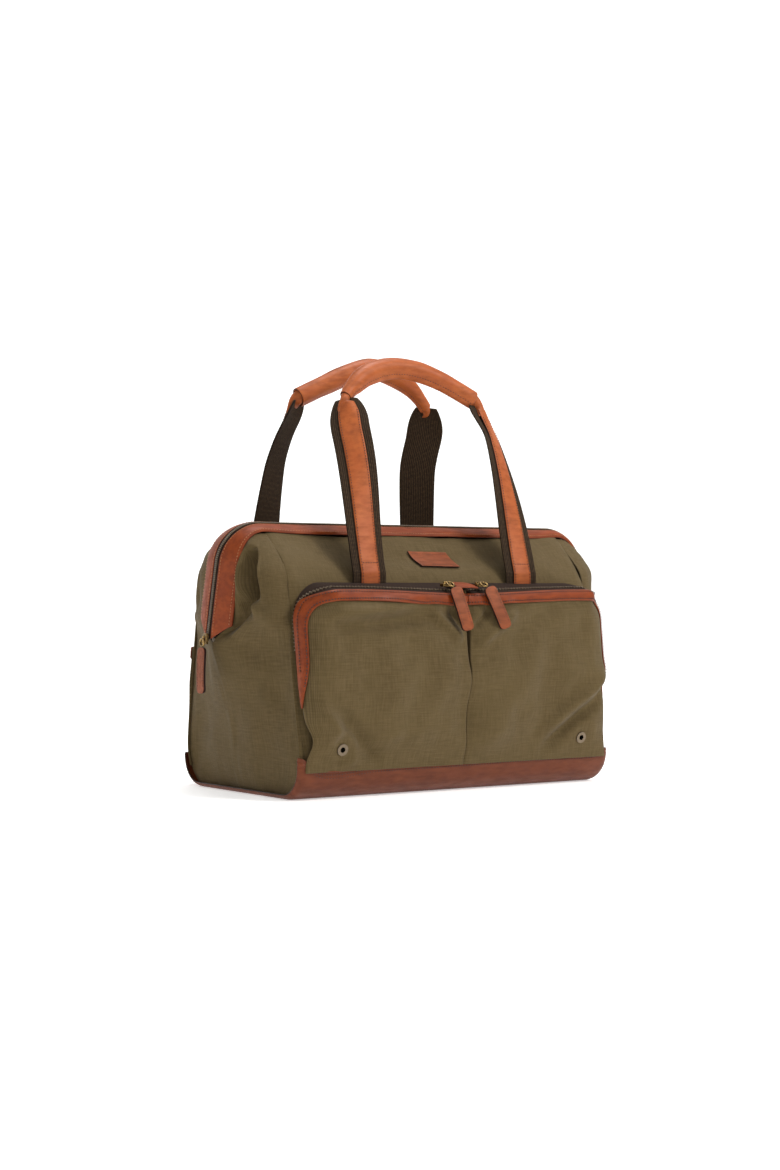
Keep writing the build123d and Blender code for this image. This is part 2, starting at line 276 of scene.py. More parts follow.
def ranged(tree, value, low, high, out_low=0.0, out_high=1.0):
    """A value stretched from one range to another."""
    made = add_node(
        tree, "ShaderNodeMapRange",
        {"Value": value, "From Min": low, "From Max": high, "To Min": out_low, "To Max": out_high},
    )
    return made.outputs[0]


def noisy(tree, where, grain_mm, stretch=(1, 1, 1), detail=3.0, roughness=0.55):
    """Noise whose blotches are about grain_mm wide, stretched along each axis."""
    scale = [1 / (MM * grain_mm * s) for s in stretch]
    spread = add_node(tree, "ShaderNodeMapping", {"Vector": where, "Scale": scale})
    made = add_node(
        tree, "ShaderNodeTexNoise",
        {"Vector": spread.outputs[0], "Scale": 1.0, "Detail": detail, "Roughness": roughness},
    )
    return made.outputs[0]


def threads(tree, where, pitch_mm, direction, wobble=0.0):
    """Parallel threads at a real spacing: a sine wave across one direction of the cloth."""
    made = add_node(
        tree, "ShaderNodeTexWave",
        {"Vector": where, "Scale": math.pi / 10 / (pitch_mm * MM), "Distortion": wobble, "Detail": 1.0,
         "Detail Scale": 0.4},
        bands_direction=direction,
    )
    return made.outputs["Fac"]


# %% Olive canvas
def olive_canvas():
    """Cotton canvas, piece-dyed and washed: matt, with uneven threads and soft fading where it is handled."""
    material, tree, shader, where = new_material("cotton canvas, olive, piece-dyed")
    cloth = where.outputs["UV"]
    warp = threads(tree, cloth, 1.15, "X", 0.8)
    weft = threads(tree, cloth, 1.0, "Y", 0.8)
    weave = combined(tree, "MULTIPLY", warp, weft)
    slub_across = noisy(tree, cloth, 1.6, (14, 1, 1), 2.0)
    slub_up = noisy(tree, cloth, 1.6, (1, 14, 1), 2.0)
    slubs = combined(tree, "ADD", slub_across, slub_up)
    blotch = noisy(tree, where.outputs["Object"], 60, detail=4.0)
    dye = mixed(tree, ranged(tree, blotch, 0.3, 0.7), linear("534428"), linear("5d4e30"))
    streaked = mixed(tree, ranged(tree, slubs, 0.75, 1.3), dye, linear("68573a"))
    gaps = mixed(tree, ranged(tree, weave, 0.0, 0.45), linear("3d3220"), streaked)
    colour = mixed(tree, 0.55, streaked, gaps)
    plug(tree, shader, {
        "Base Color": colour, "Normal": raised(tree, combined(tree, "ADD", weave, slubs), 0.35, 0.35),
        "Roughness": 0.88, "Sheen Weight": 0.05, "Specular IOR Level": 0.12,
    })
    return material


# %% Leather
def leather(name, light, mid, dark, rough=0.48, grain_mm=0.9, wear=0.5):
    """Vegetable-tanned cowhide, waxed: a pebbled grain, cloudy colour, and edges rubbed darker."""
    material, tree, shader, where = new_material(name)
    spot = where.outputs["Object"]
    cloud = noisy(tree, spot, 24, detail=5.0, roughness=0.6)
    streak = noisy(tree, spot, 5, (3.5, 1, 1), 4.0)
    pores = add_node(
        tree, "ShaderNodeTexVoronoi", {"Vector": spot, "Scale": 1 / (grain_mm * MM), "Randomness": 1.0}
    ).outputs["Distance"]
    base = mixed(tree, ranged(tree, cloud, 0.32, 0.68), linear(mid), linear(light))
    scuffed = mixed(tree, ranged(tree, streak, 0.42, 0.72, 0.0, wear), base, linear(dark))
    edge = add_node(tree, "ShaderNodeNewGeometry").outputs["Pointiness"]
    worn = mixed(tree, ranged(tree, edge, 0.52, 0.62, 0.0, 0.55), scuffed, linear(dark))
    pored = mixed(tree, ranged(tree, pores, 0.0, 0.35, 0.25, 0.0), worn, linear(dark))
    plug(tree, shader, {
        "Base Color": pored, "Normal": raised(tree, combined(tree, "ADD", pores, cloud), 0.3, 0.25),
        "Roughness": ranged(tree, streak, 0.3, 0.7, rough - 0.07, rough + 0.1), "Specular IOR Level": 0.22,
    })
    return material


# %% Webbing and zip tape
def webbing():
    """Cotton handle webbing: ribs across its width over rows of warp threads."""
    material, tree, shader, where = new_material("cotton webbing, dark brown")
    cloth = where.outputs["UV"]
    ribs = threads(tree, cloth, 1.5, "Y", 0.3)
    rows = threads(tree, cloth, 2.2, "X", 0.3)
    lift = combined(tree, "MULTIPLY", ribs, rows)
    fleck = noisy(tree, cloth, 1.2, (1, 3, 1), 2.0)
    base = mixed(tree, ranged(tree, fleck, 0.35, 0.65), linear("3a2c1e"), linear("55432f"))
    colour = mixed(tree, ranged(tree, lift, 0.0, 0.6), linear("1f1610"), base)
    plug(tree, shader, {
        "Base Color": colour, "Normal": raised(tree, lift, 0.6, 0.5), "Roughness": 0.8, "Specular IOR Level": 0.1,
    })
    return material


def woven(name, light, dark, pitch_mm):
    """A fine plain weave, as zip tape or lining."""
    material, tree, shader, where = new_material(name)
    cloth = where.outputs["UV"]
    cross = combined(tree, "MULTIPLY", threads(tree, cloth, pitch_mm, "X"), threads(tree, cloth, pitch_mm, "Y"))
    tone = mixed(tree, ranged(tree, cross, 0.0, 0.5), linear(dark), linear(light))
    cloudy = mixed(tree, ranged(tree, noisy(tree, cloth, 14), 0.3, 0.7, 0.0, 0.35), tone, linear(dark))
    plug(tree, shader, {
        "Base Color": cloudy, "Normal": raised(tree, cross, 0.4, 0.2),
        "Roughness": 0.85, "Specular IOR Level": 0.1,
    })
    return material


# %% Metal and thread
def antique_metal(name, bright, dark, rough=0.36):
    """Metal that was darkened and then rubbed, so that the raised places shine through."""
    material, tree, shader, where = new_material(name)
    patch = noisy(tree, where.outputs["Object"], 3.0, detail=4.0)
    edge = add_node(tree, "ShaderNodeNewGeometry").outputs["Pointiness"]
    base = mixed(tree, ranged(tree, patch, 0.35, 0.7), linear(dark), linear(bright))
    rubbed = mixed(tree, ranged(tree, edge, 0.5, 0.58), base, linear(bright))
    gloss = ranged(tree, patch, 0.3, 0.7, rough - 0.08, rough + 0.14)
    plug(tree, shader, {"Base Color": rubbed, "Roughness": gloss, "Metallic": 1.0})
    return material


def thread(name, colour):
    """Waxed sewing thread: twisted, so slightly shaded along its length."""
    material, tree, shader, where = new_material(name)
    twist = noisy(tree, where.outputs["Object"], 0.7)
    shaded = [c * 0.6 for c in linear(colour)[:3]] + [1]
    tone = mixed(tree, ranged(tree, twist, 0.3, 0.7), linear(colour), shaded)
    plug(tree, shader, {"Base Color": tone, "Roughness": 0.6})
    return material


canvas = olive_canvas()
base_hide = leather("cowhide, waxed red-brown", "6b3419", "5f2d17", "43200f", 0.5)
tan_hide = leather("cowhide, vegetable-tanned tan", "85390f", "752f0d", "4d1e09", 0.5)
strap_hide = leather("cowhide strip, tan", "a9592a", "9a4c22", "6a3415", 0.48)
pull_hide = leather("cowhide pull, two layers, tan", "8a4420", "763a1c", "43240f", 0.5)
edge_paint = leather("cowhide cut edge, burnished dark", "331a14", "291510", "1c0e0b", 0.45)
strap_web = webbing()
zip_tape = woven("polyester zip tape, brown", "3a2a20", "211814", 0.8)
lining_cloth = woven("cotton lining, sand", "8f8268", "6f6450", 0.7)
gunmetal = antique_metal("brass, gunmetal finish", "6f6252", "28231f")
brass = antique_metal("brass, antiqued", "a98a55", "43362a", 0.34)
steel = antique_metal("steel wire, browned", "7a746c", "4a4540", 0.4)
dark_thread = thread("polyester thread, dark brown", "24130d")
rope = leather("rope filler, cotton", "9b8b6c", "85765a", "5d5140", 0.8, 1.2, 0.3)
tan_thread = thread("polyester thread, tan", "c58a58")
print("materials:", len(bpy.data.materials))

# %% [markdown]
# ## The canvas body
# The real body is cut flat: a front and a back panel, and an end panel on each short side that swells out to meet
# the zip. Each is laid here over a few control lines, and a little unevenness is added, because cloth that has
# been handled is never fair. The cloth is canvas on both sides, and the lining is a piece of its own.

# %% Lines of the body, in millimetres
SEAM_HALF, SEAM_HALF_TOP = 209, 203
SEAM_TUCK, TOP_SAG = 4, 3
PANEL_LINES = {
    "front": {
        "seam": [(-118, 22), (-124, 45), (-118, 85), (-107, 140), (-99, 191), (-96, 221), (-82, 250), (-61, 271),
                 (-41, 287)],
        "middle": [(-124, 22), (-123, 45), (-116, 85), (-108, 140), (-103, 185), (-99, 222), (-87, 244),
                   (-67, 262), (-45, 284)],
    },
    "back": {
        "seam": [(118, 22), (124, 45), (121, 85), (114, 140), (108, 191), (104, 222), (97, 243), (70, 268),
                 (-3, 292)],
        "middle": [(124, 22), (124, 45), (119, 85), (113, 140), (107, 185), (103, 222), (94, 245), (66, 270),
                   (-5, 291)],
    },
}
panel_splines = {
    face: {key: through([(0, y, z) for y, z in line]) for key, line in lines.items()}
    for face, lines in PANEL_LINES.items()
}


def panel_spot(face, x, v):
    """The outer face of the front or back panel at x and at v up its profile."""
    seam, middle = panel_splines[face]["seam"](v), panel_splines[face]["middle"](v)
    spot = middle.lerp(seam, smooth(abs(x), 120, 203))
    inward = -FACES[face]
    spot.x = x
    spot.y += inward * SEAM_TUCK * smooth(abs(x), SEAM_HALF_TOP - 12, SEAM_HALF) ** 2
    spot.z -= hump(abs(x), 0, 90) * hump(v, 0.86, 0.08) * TOP_SAG
    uneven = crumple(spot, 70, 2.6, 3) + crumple(spot, 24, 0.9, 4)
    return spot + Vector((0, -inward, 0.6)) * uneven * smooth(v, 0.5, 0.75)


def panel_place(face):
    def place(u, v):
        half = SEAM_HALF + (SEAM_HALF_TOP - SEAM_HALF) * smooth(v, 0.2, 0.95)
        return panel_spot(face, (2 * u - 1) * half, v)

    return place


def bend_with_mouth(made, face):
    """Cloth between the fixed wall and the moving half of the mouth: it is baked where it lies, and is neither
    bent nor tied to a body.
    """
    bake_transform(made)


for face in FACES:
    bm = laid_grid(panel_place(face), 120, 80, (420, 300))
    body = piece(f"{face}_canvas", bm, canvas, thick=1.4, levels=1, within=(0, 0, 140))
    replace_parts(body, f"{face}_wall", f"{face}_upper_panel")
    bend_with_mouth(body, face)
    print(body.name, len(body.data.polygons), "faces before smoothing")

# %% [markdown]
# ## End panels
# Each end panel is a U of canvas that swells towards the foot of the zip. Above the hinge it splits into a front
# and a back half, one on each side of the mouth, and the loose cloth of the front half sinks into a deep hollow
# behind a soft lobe. A net of control points, row above row, gives both the swell and the hollow.

# %% Control net of the end panels
LOW_LEVELS = (2, 20, 45, 75, 105, 135, 165)
SWELL = (0, 5, 10, 14, 20, 30, 39)
LOW_EDGE = {"front": (-97, -115, -122, -117, -110, -104, -100), "back": (97, 115, 122, 119, 115, 111, 107)}
HINGE_Y = 4
# height, the seam's (|x|, y), the facing's (|x|, y, z), swell, depth of the hollow, its middle and half its width
FRONT_ROWS = [
    (190, (206, -97), (233, -23, 187), 11, 8, 0.90, 0.10),
    (207, (205, -95), (235, -28, 206), 11, 20, 0.78, 0.17),
    (225, (204.5, -91), (236, -32, 225), 11, 50, 0.68, 0.2),
    (242, (204, -86), (237, -35, 242), 11, 56, 0.66, 0.21),
    (255, (203, -76), (236, -38, 255), 9, 46, 0.66, 0.2),
    (267, (202, -63), (232, -40, 267), 8, 2, 0.66, 0.2),
    (284, (201, -42), (226, -41, 279), 0, 0, 0.75, 0.25),
]


def front_row(level, seam, facing, swell, sunk, middle, half):
    """One level of a front half: it swells to a lip, drops into the hollow, and comes back to the facing."""
    row = []
    for t in (k / 18 for k in range(19)):
        inside = max(0.0, 1 - ((t - middle) / half) ** 2) ** 0.8
        x = seam[0] + (facing[0] - seam[0]) * t + swell * math.sin(math.pi * t) ** 0.8 - sunk * inside
        y = seam[1] + (facing[1] - seam[1]) * t**1.6
        row.append((x, y, level + (facing[2] - level) * t + 2 * math.sin(math.pi * t)))
    return row


UPPER_NET = {  # rows from the seam to the edge of the facing, as (|x|, y, z)
    "front": [front_row(*row) for row in FRONT_ROWS],
    "back": [
        [(206, 104, 190), (216, 88, 190), (226, 66, 190), (238, 44, 191), (243, 23, 192)],
        [(205, 103, 202), (215, 87, 202), (224, 66, 202), (237, 43, 202), (243, 20, 203)],
        [(205, 101, 214), (215, 86, 214), (223, 66, 214), (236, 42, 214), (243, 17, 214)],
        [(204, 95, 240), (215, 82, 241), (227, 62, 241), (241, 36, 241), (243, 11, 240)],
        [(203, 86, 252), (214, 75, 254), (226, 57, 254), (240, 32, 254), (243, 9, 252)],
        [(203, 70, 265), (212, 61, 268), (222, 46, 269), (236, 26, 267), (241, 5, 266)],
        [(201, 10, 288), (208, 10, 289), (215, 9, 288), (223, 5, 286), (231, 2, 282)],
    ],
}
SPLIT = (len(LOW_LEVELS) - 1) / (len(LOW_LEVELS) + len(UPPER_NET["front"]) - 1)


def end_net(face):
    """Splines along the rows of one half of an end panel, from its foot to its top."""
    rows = []
    for z, swell, edge in zip(LOW_LEVELS, SWELL, LOW_EDGE[face]):
        seam_x = SEAM_HALF - 4 - smooth(z, 60, 280) * 3
        rows.append([
            (seam_x + swell * math.sin(math.pi / 2 * t) ** 2, edge + (HINGE_Y - edge) * t, z)
            for t in (0, 0.25, 0.5, 0.75, 1)
        ])
    return [through(row) for row in rows + UPPER_NET[face]]


end_rows = {face: end_net(face) for face in FACES}
end_columns = {}  # each column of the net is worked out once, and serves both sides
BACK_DIMPLE = 9


def end_place(side, face):
    """One half of an end panel: u from the seam to the middle or the facing, v from the foot to the top."""
    def place(u, v):
        key = (face, round(u, 6))
        if key not in end_columns:
            end_columns[key] = through([row(u) for row in end_rows[face]])
        spot = end_columns[key](v)
        if face == "back":
            beside_mouth = smooth(spot.z, 190, 222) * (1 - smooth(spot.z, 240, 268))
            spot.x -= BACK_DIMPLE * hump(spot.y, 66, 13) * beside_mouth
        seed = 11 if side < 0 else 17
        free = smooth(u, 0, 0.15) * smooth(1 - u, 0, 0.1)
        spot.x += (crumple(spot, 60, 5.0, seed) + crumple(spot, 22, 1.0, seed + 1)) * free
        spot.x *= side
        return spot

    return place


# %% End panels in three pieces
END_WIDTH, END_HEIGHT = 130, 300
for name, side in SIDES.items():
    front, back = end_place(side, "front"), end_place(side, "back")

    def lower(u, v):
        return front(2 * u, v * SPLIT) if u <= 0.5 else back(2 - 2 * u, v * SPLIT)

    bm = laid_grid(lower, 96, 56, (2 * END_WIDTH, SPLIT * END_HEIGHT))
    end = piece(f"{name}_end_canvas", bm, canvas, thick=1.4, levels=1, within=(0, 0, 90))
    end.modifiers["thickness"].use_rim = False
    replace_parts(end, f"{name}_gusset")
    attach(end, "bag_body")
    for face, place in (("front", front), ("back", back)):
        size = (END_WIDTH if face == "front" else -END_WIDTH, (1 - SPLIT) * END_HEIGHT)
        start = (0 if face == "front" else 2 * END_WIDTH, SPLIT * END_HEIGHT)
        bm = laid_grid(lambda u, v: place(u, SPLIT + v * (1 - SPLIT)), 84, 76, size)
        cloth = bm.loops.layers.uv.active
        for f in bm.faces:
            for loop in f.loops:
                loop[cloth].uv += Vector(start) * MM
        hood = piece(f"{name}_{face}_hood", bm, canvas, thick=1.4, levels=1, within=(0, 0, 200))
        hood.modifiers["thickness"].use_rim = False
        if face == "front":
            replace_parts(hood, f"{name}_upper_gusset")
        bend_with_mouth(hood, face)
print("end panels split", round(SPLIT, 3), "of the way up")

# %% [markdown]
# ## The leather base
# One piece of waxed cowhide forms the floor and turns up the front and the back. Its long ends are rolled in
# towards the end panels. Its top edge dips and rises, because the soft canvas above it pulls at it unevenly.

# %% Base leather
BASE_TOP, BASE_ROUND, END_ROLL = 36, 35, 11
BASE_HALF, ROLL_FROM = 215, 204
FRONT_FACE, BACK_SHORT = 127, 3


def band_top(x):
    """Height of the leather's top edge along the front."""
    corner = 12 * hump(x, -212, 14) + 4 * hump(x, 212, 20)
    return BASE_TOP + corner - 5 * hump(x, -168, 34) + 1.5 * hump(x, 90, 70)


def base_place(u, v):
    along = (2 * u - 1) * BASE_HALF
    turn = max(0.0, abs(along) - ROLL_FROM) / END_ROLL
    x = math.copysign(min(abs(along), ROLL_FROM) + END_ROLL * math.sin(turn), along)
    inset = END_ROLL * (1 - math.cos(turn))
    top = {-1: band_top(x), 1: BASE_TOP}
    side = -1 if v < 0.5 else 1
    w = 1 - abs(2 * v - 1)  # 0 at a top edge, 1 in the middle of the floor
    r, reach = BASE_ROUND - inset, FRONT_FACE - inset - (BACK_SHORT if v > 0.5 else 0)
    if w < 0.25:
        y, z = side * reach, top[side] + (BASE_ROUND - top[side]) * w / 0.25
        y += side * 0.5 * math.sin(w * 50)
    elif w < 0.6:
        angle = (w - 0.25) / 0.35 * math.pi / 2
        y, z = side * (reach - r + r * math.cos(angle)), BASE_ROUND - r * math.sin(angle)
    else:
        y, z = side * (reach - r) * (1 - w) / 0.4, inset
    return x, y, z


bm = laid_grid(base_place, 140, 96, (430, 370))
base = piece("base_hide", bm, base_hide, edge_paint, thick=2.2, levels=1, within=(0, 0, 60))
dark_edged(base)
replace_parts(base, "base_leather")
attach(base, "bag_body")
bm = bmesh.new()
for height in (4.0, 7.5):
    sew(bm, lambda t: ((-196 + 392 * t, -FRONT_FACE - 0.2, band_top(-196 + 392 * t) - height), Vector((0, -1, 0))),
        3.6, 0.7)
stitches = piece("base_stitches", bm, dark_thread)
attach(stitches, "bag_body")
print("base leather made")

# %% [markdown]
# ## Front pockets
# Two bellows pockets share one zip. Their faces stand proud of the wall, curve back to it at the ends, and tuck
# in at the middle, where a box pleat lets them swell. A height field over the wall makes them: for each place on
# the front it says how far out the cloth stands, so the binding and the stitches can follow the same field.

# %% The pocket field
POCKET_HALF, POCKET_TOP, POCKET_ROUND, POCKET_CURL = 206, 224, 36, 38.5
POCKET_FOOT, POCKET_SAG = 30, 4.5
WALL_FOOT, WALL_RISE = 37, 184
EYELET_X, EYELET_Y, EYELET_Z, EYELET_HOLE = 164, -134.5, 54, 3.8
# each fold's height, negative where it is a groove, its two ends as x, z, and its width
POCKET_FOLDS = [
    (8.4, -182, 198, -80, 206, 8), (-8.0, -172, 184, -60, 194, 9),
    (9.2, 200, 132, 108, 62, 10), (-8.8, 200, 112, 112, 44, 8),
    (8.0, -14, 172, -52, 206, 7), (8.0, 14, 168, 62, 204, 8),
    (-6.0, -8, 186, -26, 206, 4), (-6.0, 8, 186, 28, 206, 4),
    (9.0, -150, 40, -198, 100, 9), (-7.0, -116, 40, -172, 96, 9),
    (8.0, 24, 50, 96, 170, 18), (7.2, -70, 60, -24, 160, 20),
]
face_line = through([(-129, 30, 0), (-135, 56, 0), (-142, 84, 0), (-145, 130, 0), (-143, 180, 0), (-138, 226, 0)])
face_table = [face_line(k / 100) for k in range(101)]


def wall_y(z):
    """The front wall behind the pockets leans back by 30 over its rise."""
    return -FRONT_FACE + (z - WALL_FOOT) * 30 / WALL_RISE


def face_y(z):
    """The pocket face's y at height z, off its profile."""
    low, high = 0, len(face_table) - 1
    while high - low > 1:
        mid = (low + high) // 2
        low, high = (mid, high) if face_table[mid].y <= z else (low, mid)
    p, q = face_table[low], face_table[high]
    return p.x + (q.x - p.x) * (z - p.y) / max(q.y - p.y, 1e-9)


def fold(x, z, x0, z0, x1, z1, width):
    """The share of a soft ridge along a line of cloth: 1 on the line, fading at its ends."""
    ax, az = x1 - x0, z1 - z0
    t = ((x - x0) * ax + (z - z0) * az) / (ax * ax + az * az)
    away = abs((x - x0) * az - (z - z0) * ax) / math.hypot(ax, az)
    return hump(away, 0, width) * smooth(t, -0.15, 0.2) * (1 - smooth(t, 0.75, 1.15))


def pocket_edge(a, z):
    """0 on the open face, 1 at the outline of its sides; the outline turns with the top corner and fades there."""
    straight = (a - POCKET_HALF + POCKET_CURL) / POCKET_CURL
    right, up = a - POCKET_HALF + POCKET_ROUND, z - POCKET_TOP + POCKET_ROUND
    if right > 0 and up > 0:
        turned = 1 - (POCKET_ROUND - math.hypot(right, up)) / POCKET_CURL
        straight = turned + (straight - turned) * smooth(math.atan2(up, right), 0.6, 1.57)
    return min(1.0, max(0.0, straight))


def pocket_y(x, z):
    """The pocket's outer face."""
    a = abs(x)
    swell = math.sqrt(1 - pocket_edge(a, z) ** 2.3 * 0.985)
    y = wall_y(z) + (face_y(z) - wall_y(z)) * swell
    y += 4.5 * hump(a, 0, 16) * smooth(z, 40, 90)
    flat = smooth(z, 38, 70) * (1 - smooth(z, 196, 214)) * (1 - smooth(a, 176, 200))
    y += 8.0 * noise.noise(Vector((x / 75, 4.2, z / 60))) * flat
    for height, *line in POCKET_FOLDS:
        y -= height * fold(x, z, *line)
    y += crumple((x, 0, z), 36, 5.6, 21) * flat + crumple((x, 0, z), 15, 0.9, 22) * flat
    level = 1 - smooth(math.hypot(a - EYELET_X, z - EYELET_Z), 9, 24)
    return y + (EYELET_Y - (z - EYELET_Z) * 0.25 - y) * level


def pocket_out(x, z):
    """The pocket face's outward direction."""
    slope_x = pocket_y(x + 0.6, z) - pocket_y(x - 0.6, z)
    slope_z = pocket_y(x, z + 0.6) - pocket_y(x, z - 0.6)
    return Vector((slope_x / 1.2, -1, slope_z / 1.2)).normalized()


def pocket_reach(x_side, z):
    """Half width of the pocket at height z: round top corners, and a tuck near each foot."""
    half = POCKET_HALF
    over = z - (POCKET_TOP - POCKET_ROUND)
    if over > 0:
        half -= POCKET_ROUND - math.sqrt(max(0.0, POCKET_ROUND**2 - over**2))
    if x_side < 0:
        half -= 7 * hump(z, 62, 15)
    else:
        half -= 3 * hump(z, 66, 14)
    return half


# %% Pocket faces and the pleat between them
TUCK_FROM, TUCK_SHARE, EDGE_STEP = 0.94, 0.06, 1.6


def pocket_place(side):
    """u runs from the pocket's outer side to its inner edge, and past TUCK_FROM it turns in to the pleat."""
    step = EDGE_STEP * (1 if side > 0 else -0.3)  # the left edge stands a little proud of the right one

    def place(u, v):
        z = POCKET_FOOT + (POCKET_TOP - 1 - POCKET_FOOT) * v
        slit = 0.5 + 2.6 * smooth(z, 110, 176) * (1 - smooth(z, 184, 193))
        reach = pocket_reach(side, z)
        if u < TUCK_FROM:
            a = reach + (slit - reach) * (u / TUCK_FROM) ** 0.9
            y = pocket_y(side * a, z) + step * smooth(u, 0.9, TUCK_FROM)
            return side * a, y, z - POCKET_SAG * smooth(a, 150, 0) * smooth(z, 120, 223)
        turned = (u - TUCK_FROM) / TUCK_SHARE
        return side * (slit + 0.4 * turned), pocket_y(side * slit, z) + step + 9 * turned, z

    return place


for name, side in SIDES.items():
    bm = laid_grid(pocket_place(side), 104, 96, (215, 205))
    eyelet = Vector((side * EYELET_X, EYELET_Y, EYELET_Z)) * MM
    cut = [f for f in bm.faces if (f.calc_center_median() - eyelet).length < EYELET_HOLE * MM]
    bmesh.ops.delete(bm, geom=cut, context="FACES")
    pocket = piece(f"{name}_pocket_canvas", bm, canvas, thick=1.4, levels=1, within=(side * 100, -60, 120))
    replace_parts(pocket, f"{name}_pocket_panel")
    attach(pocket, "bag_body")


def pleat_place(u, v):
    """The box pleat's floor, behind the slit between the pockets."""
    z = 34 + 186 * v
    return (u - 0.5) * 15, pocket_y(0, z) + 8.5, z


bm = laid_grid(pleat_place, 6, 60, (15, 190))
pleat = piece("pleat_canvas", bm, canvas, thick=1.2, within=(0, 0, 120))
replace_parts(pleat, "pocket_pleat")
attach(pleat, "bag_body")
print("pockets made")

# %% [markdown]
# ## Pocket binding and zip
# A folded strip of tan leather binds the pocket's mouth. It starts as a point low on each side, widens, turns the
# corner and runs to the middle, sewn with two rows. The zip lies between it and the wall: brown tape and a row of
# small teeth.

# %% Along the pocket's edge
POINT_Z, BINDING = 98, 13.5
SIDE_RUN = POCKET_TOP - POCKET_ROUND - POINT_Z
TURN_RUN = POCKET_ROUND * math.pi / 2
EDGE_RUN = SIDE_RUN + TURN_RUN + POCKET_HALF - POCKET_ROUND


def edge_spot(side, s, w):
    """(x, z) at s along the pocket's edge from its low point, and w in from it along the cloth."""
    w *= 0.4 + 0.6 * smooth(s, SIDE_RUN - 8, SIDE_RUN + TURN_RUN)
    if s < SIDE_RUN:
        a, z = POCKET_HALF - w, POINT_Z + s
    elif s < SIDE_RUN + TURN_RUN:
        angle = (s - SIDE_RUN) / POCKET_ROUND
        a = POCKET_HALF - POCKET_ROUND + (POCKET_ROUND - w) * math.cos(angle)
        z = POCKET_TOP - POCKET_ROUND + (POCKET_ROUND - w) * math.sin(angle)
    else:
        a, z = EDGE_RUN - s, POCKET_TOP - w
        z -= POCKET_SAG * smooth(EDGE_RUN - s, 150, 0)
    return side * a, z


def binding_width(s):
    return 1.0 + (BINDING - 1.0) * smooth(s, -6, 52)


def binding_place(side):
    def place(u, v):
        s, width = u * EDGE_RUN, binding_width(u * EDGE_RUN)
        w = width * v
        x, z = edge_spot(side, s, w)
        crown = 1.2 * (1 - abs(2 * v - 1) ** 2.5) * min(1, width / 8) + 1.7
        roll = 3.0 * max(0.0, 1 - v / 0.2) ** 2 * min(1, width / 8)
        return Vector((x, pocket_y(x, z) + roll, z)) + pocket_out(x, z) * crown

    return place


def row_on(place, v, lift=0.25, facing=(0, -1, 0), flip=False):
    """A line along a laid surface for sew(), a little above it."""
    def line(t):
        spot, normal = on_surface(place, t if not flip else v, v if not flip else t)
        if normal.dot(Vector(facing)) < 0:
            normal = -normal
        return spot + normal * lift, normal

    return line


for name, side in SIDES.items():
    place = binding_place(side)
    bm = laid_grid(place, 150, 8, (EDGE_RUN, BINDING))
    binding = piece(f"{name}_binding", bm, tan_hide, thick=1.4, levels=1, within=(side * 60, 0, 120))
    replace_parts(binding, f"{name}_pocket_binding")
    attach(binding, "bag_body")
    bm = bmesh.new()
    for v, start in ((0.2, 0.12), (0.8, 0.07)):
        sew(bm, row_on(place, v, 0.6), 3.4, 1.5, start=start)
    seam = piece(f"{name}_binding_stitches", bm, dark_thread)
    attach(seam, "bag_body")

# %% Pocket zip tape and teeth
SHELF_RISE = 8


def shelf_spot(side, s, b):
    """The zip's surface at s along the pocket's edge, from the face at b = 0 back to the wall at b = 1."""
    x, z = edge_spot(side, s, 0.8)
    top = smooth(s, SIDE_RUN, SIDE_RUN + TURN_RUN)
    start = Vector((x, pocket_y(x, z) + 1.5, z - 0.6))
    back_z = z + (SHELF_RISE + POCKET_SAG * smooth(abs(x), 150, 0)) * top
    end = Vector((x + side * 0.8 * (1 - top), wall_y(z) - 0.6 + 2 * top, back_z))
    return start.lerp(end, b) + Vector((0, 0, 1.2)) * math.sin(math.pi * b) * top


TEETH_DEEP_SIDE, TEETH_DEEP_TOP = 0.5, 0.27  # how far back across the tape the teeth lie


def teeth_line(side, s, away=0.0):
    top = smooth(s, SIDE_RUN, SIDE_RUN + TURN_RUN)
    deep = TEETH_DEEP_SIDE + (TEETH_DEEP_TOP - TEETH_DEEP_SIDE) * top
    return shelf_spot(side, s, deep + away)


def teeth_row(bm, line, pitch, width, size, lift):
    """Zip teeth: small blocks set alternately to each side of a line(t), which gives a spot and a normal."""
    length = even(lambda t: Vector(line(t)[0]), 1)[1]
    count = int(length / pitch)
    stops = even(lambda t: Vector(line(t)[0]), count)[0]
    for k in range(1, count):
        spot, normal = line(stops[k])
        ahead = (Vector(line(stops[k + 1])[0]) - Vector(line(stops[k - 1])[0])).normalized()
        across = normal.cross(ahead).normalized()
        turn = Matrix((ahead, across, ahead.cross(across))).transposed().to_4x4()
        shift = across * (width / 4) * (1 if k % 2 else -1) + normal * lift
        scale = Matrix.Diagonal((pitch * 0.62 * MM, size * MM, 1.3 * MM, 1))
        bmesh.ops.create_cube(bm, size=1, matrix=Matrix.Translation((Vector(spot) + shift) * MM) @ turn @ scale)
    return count


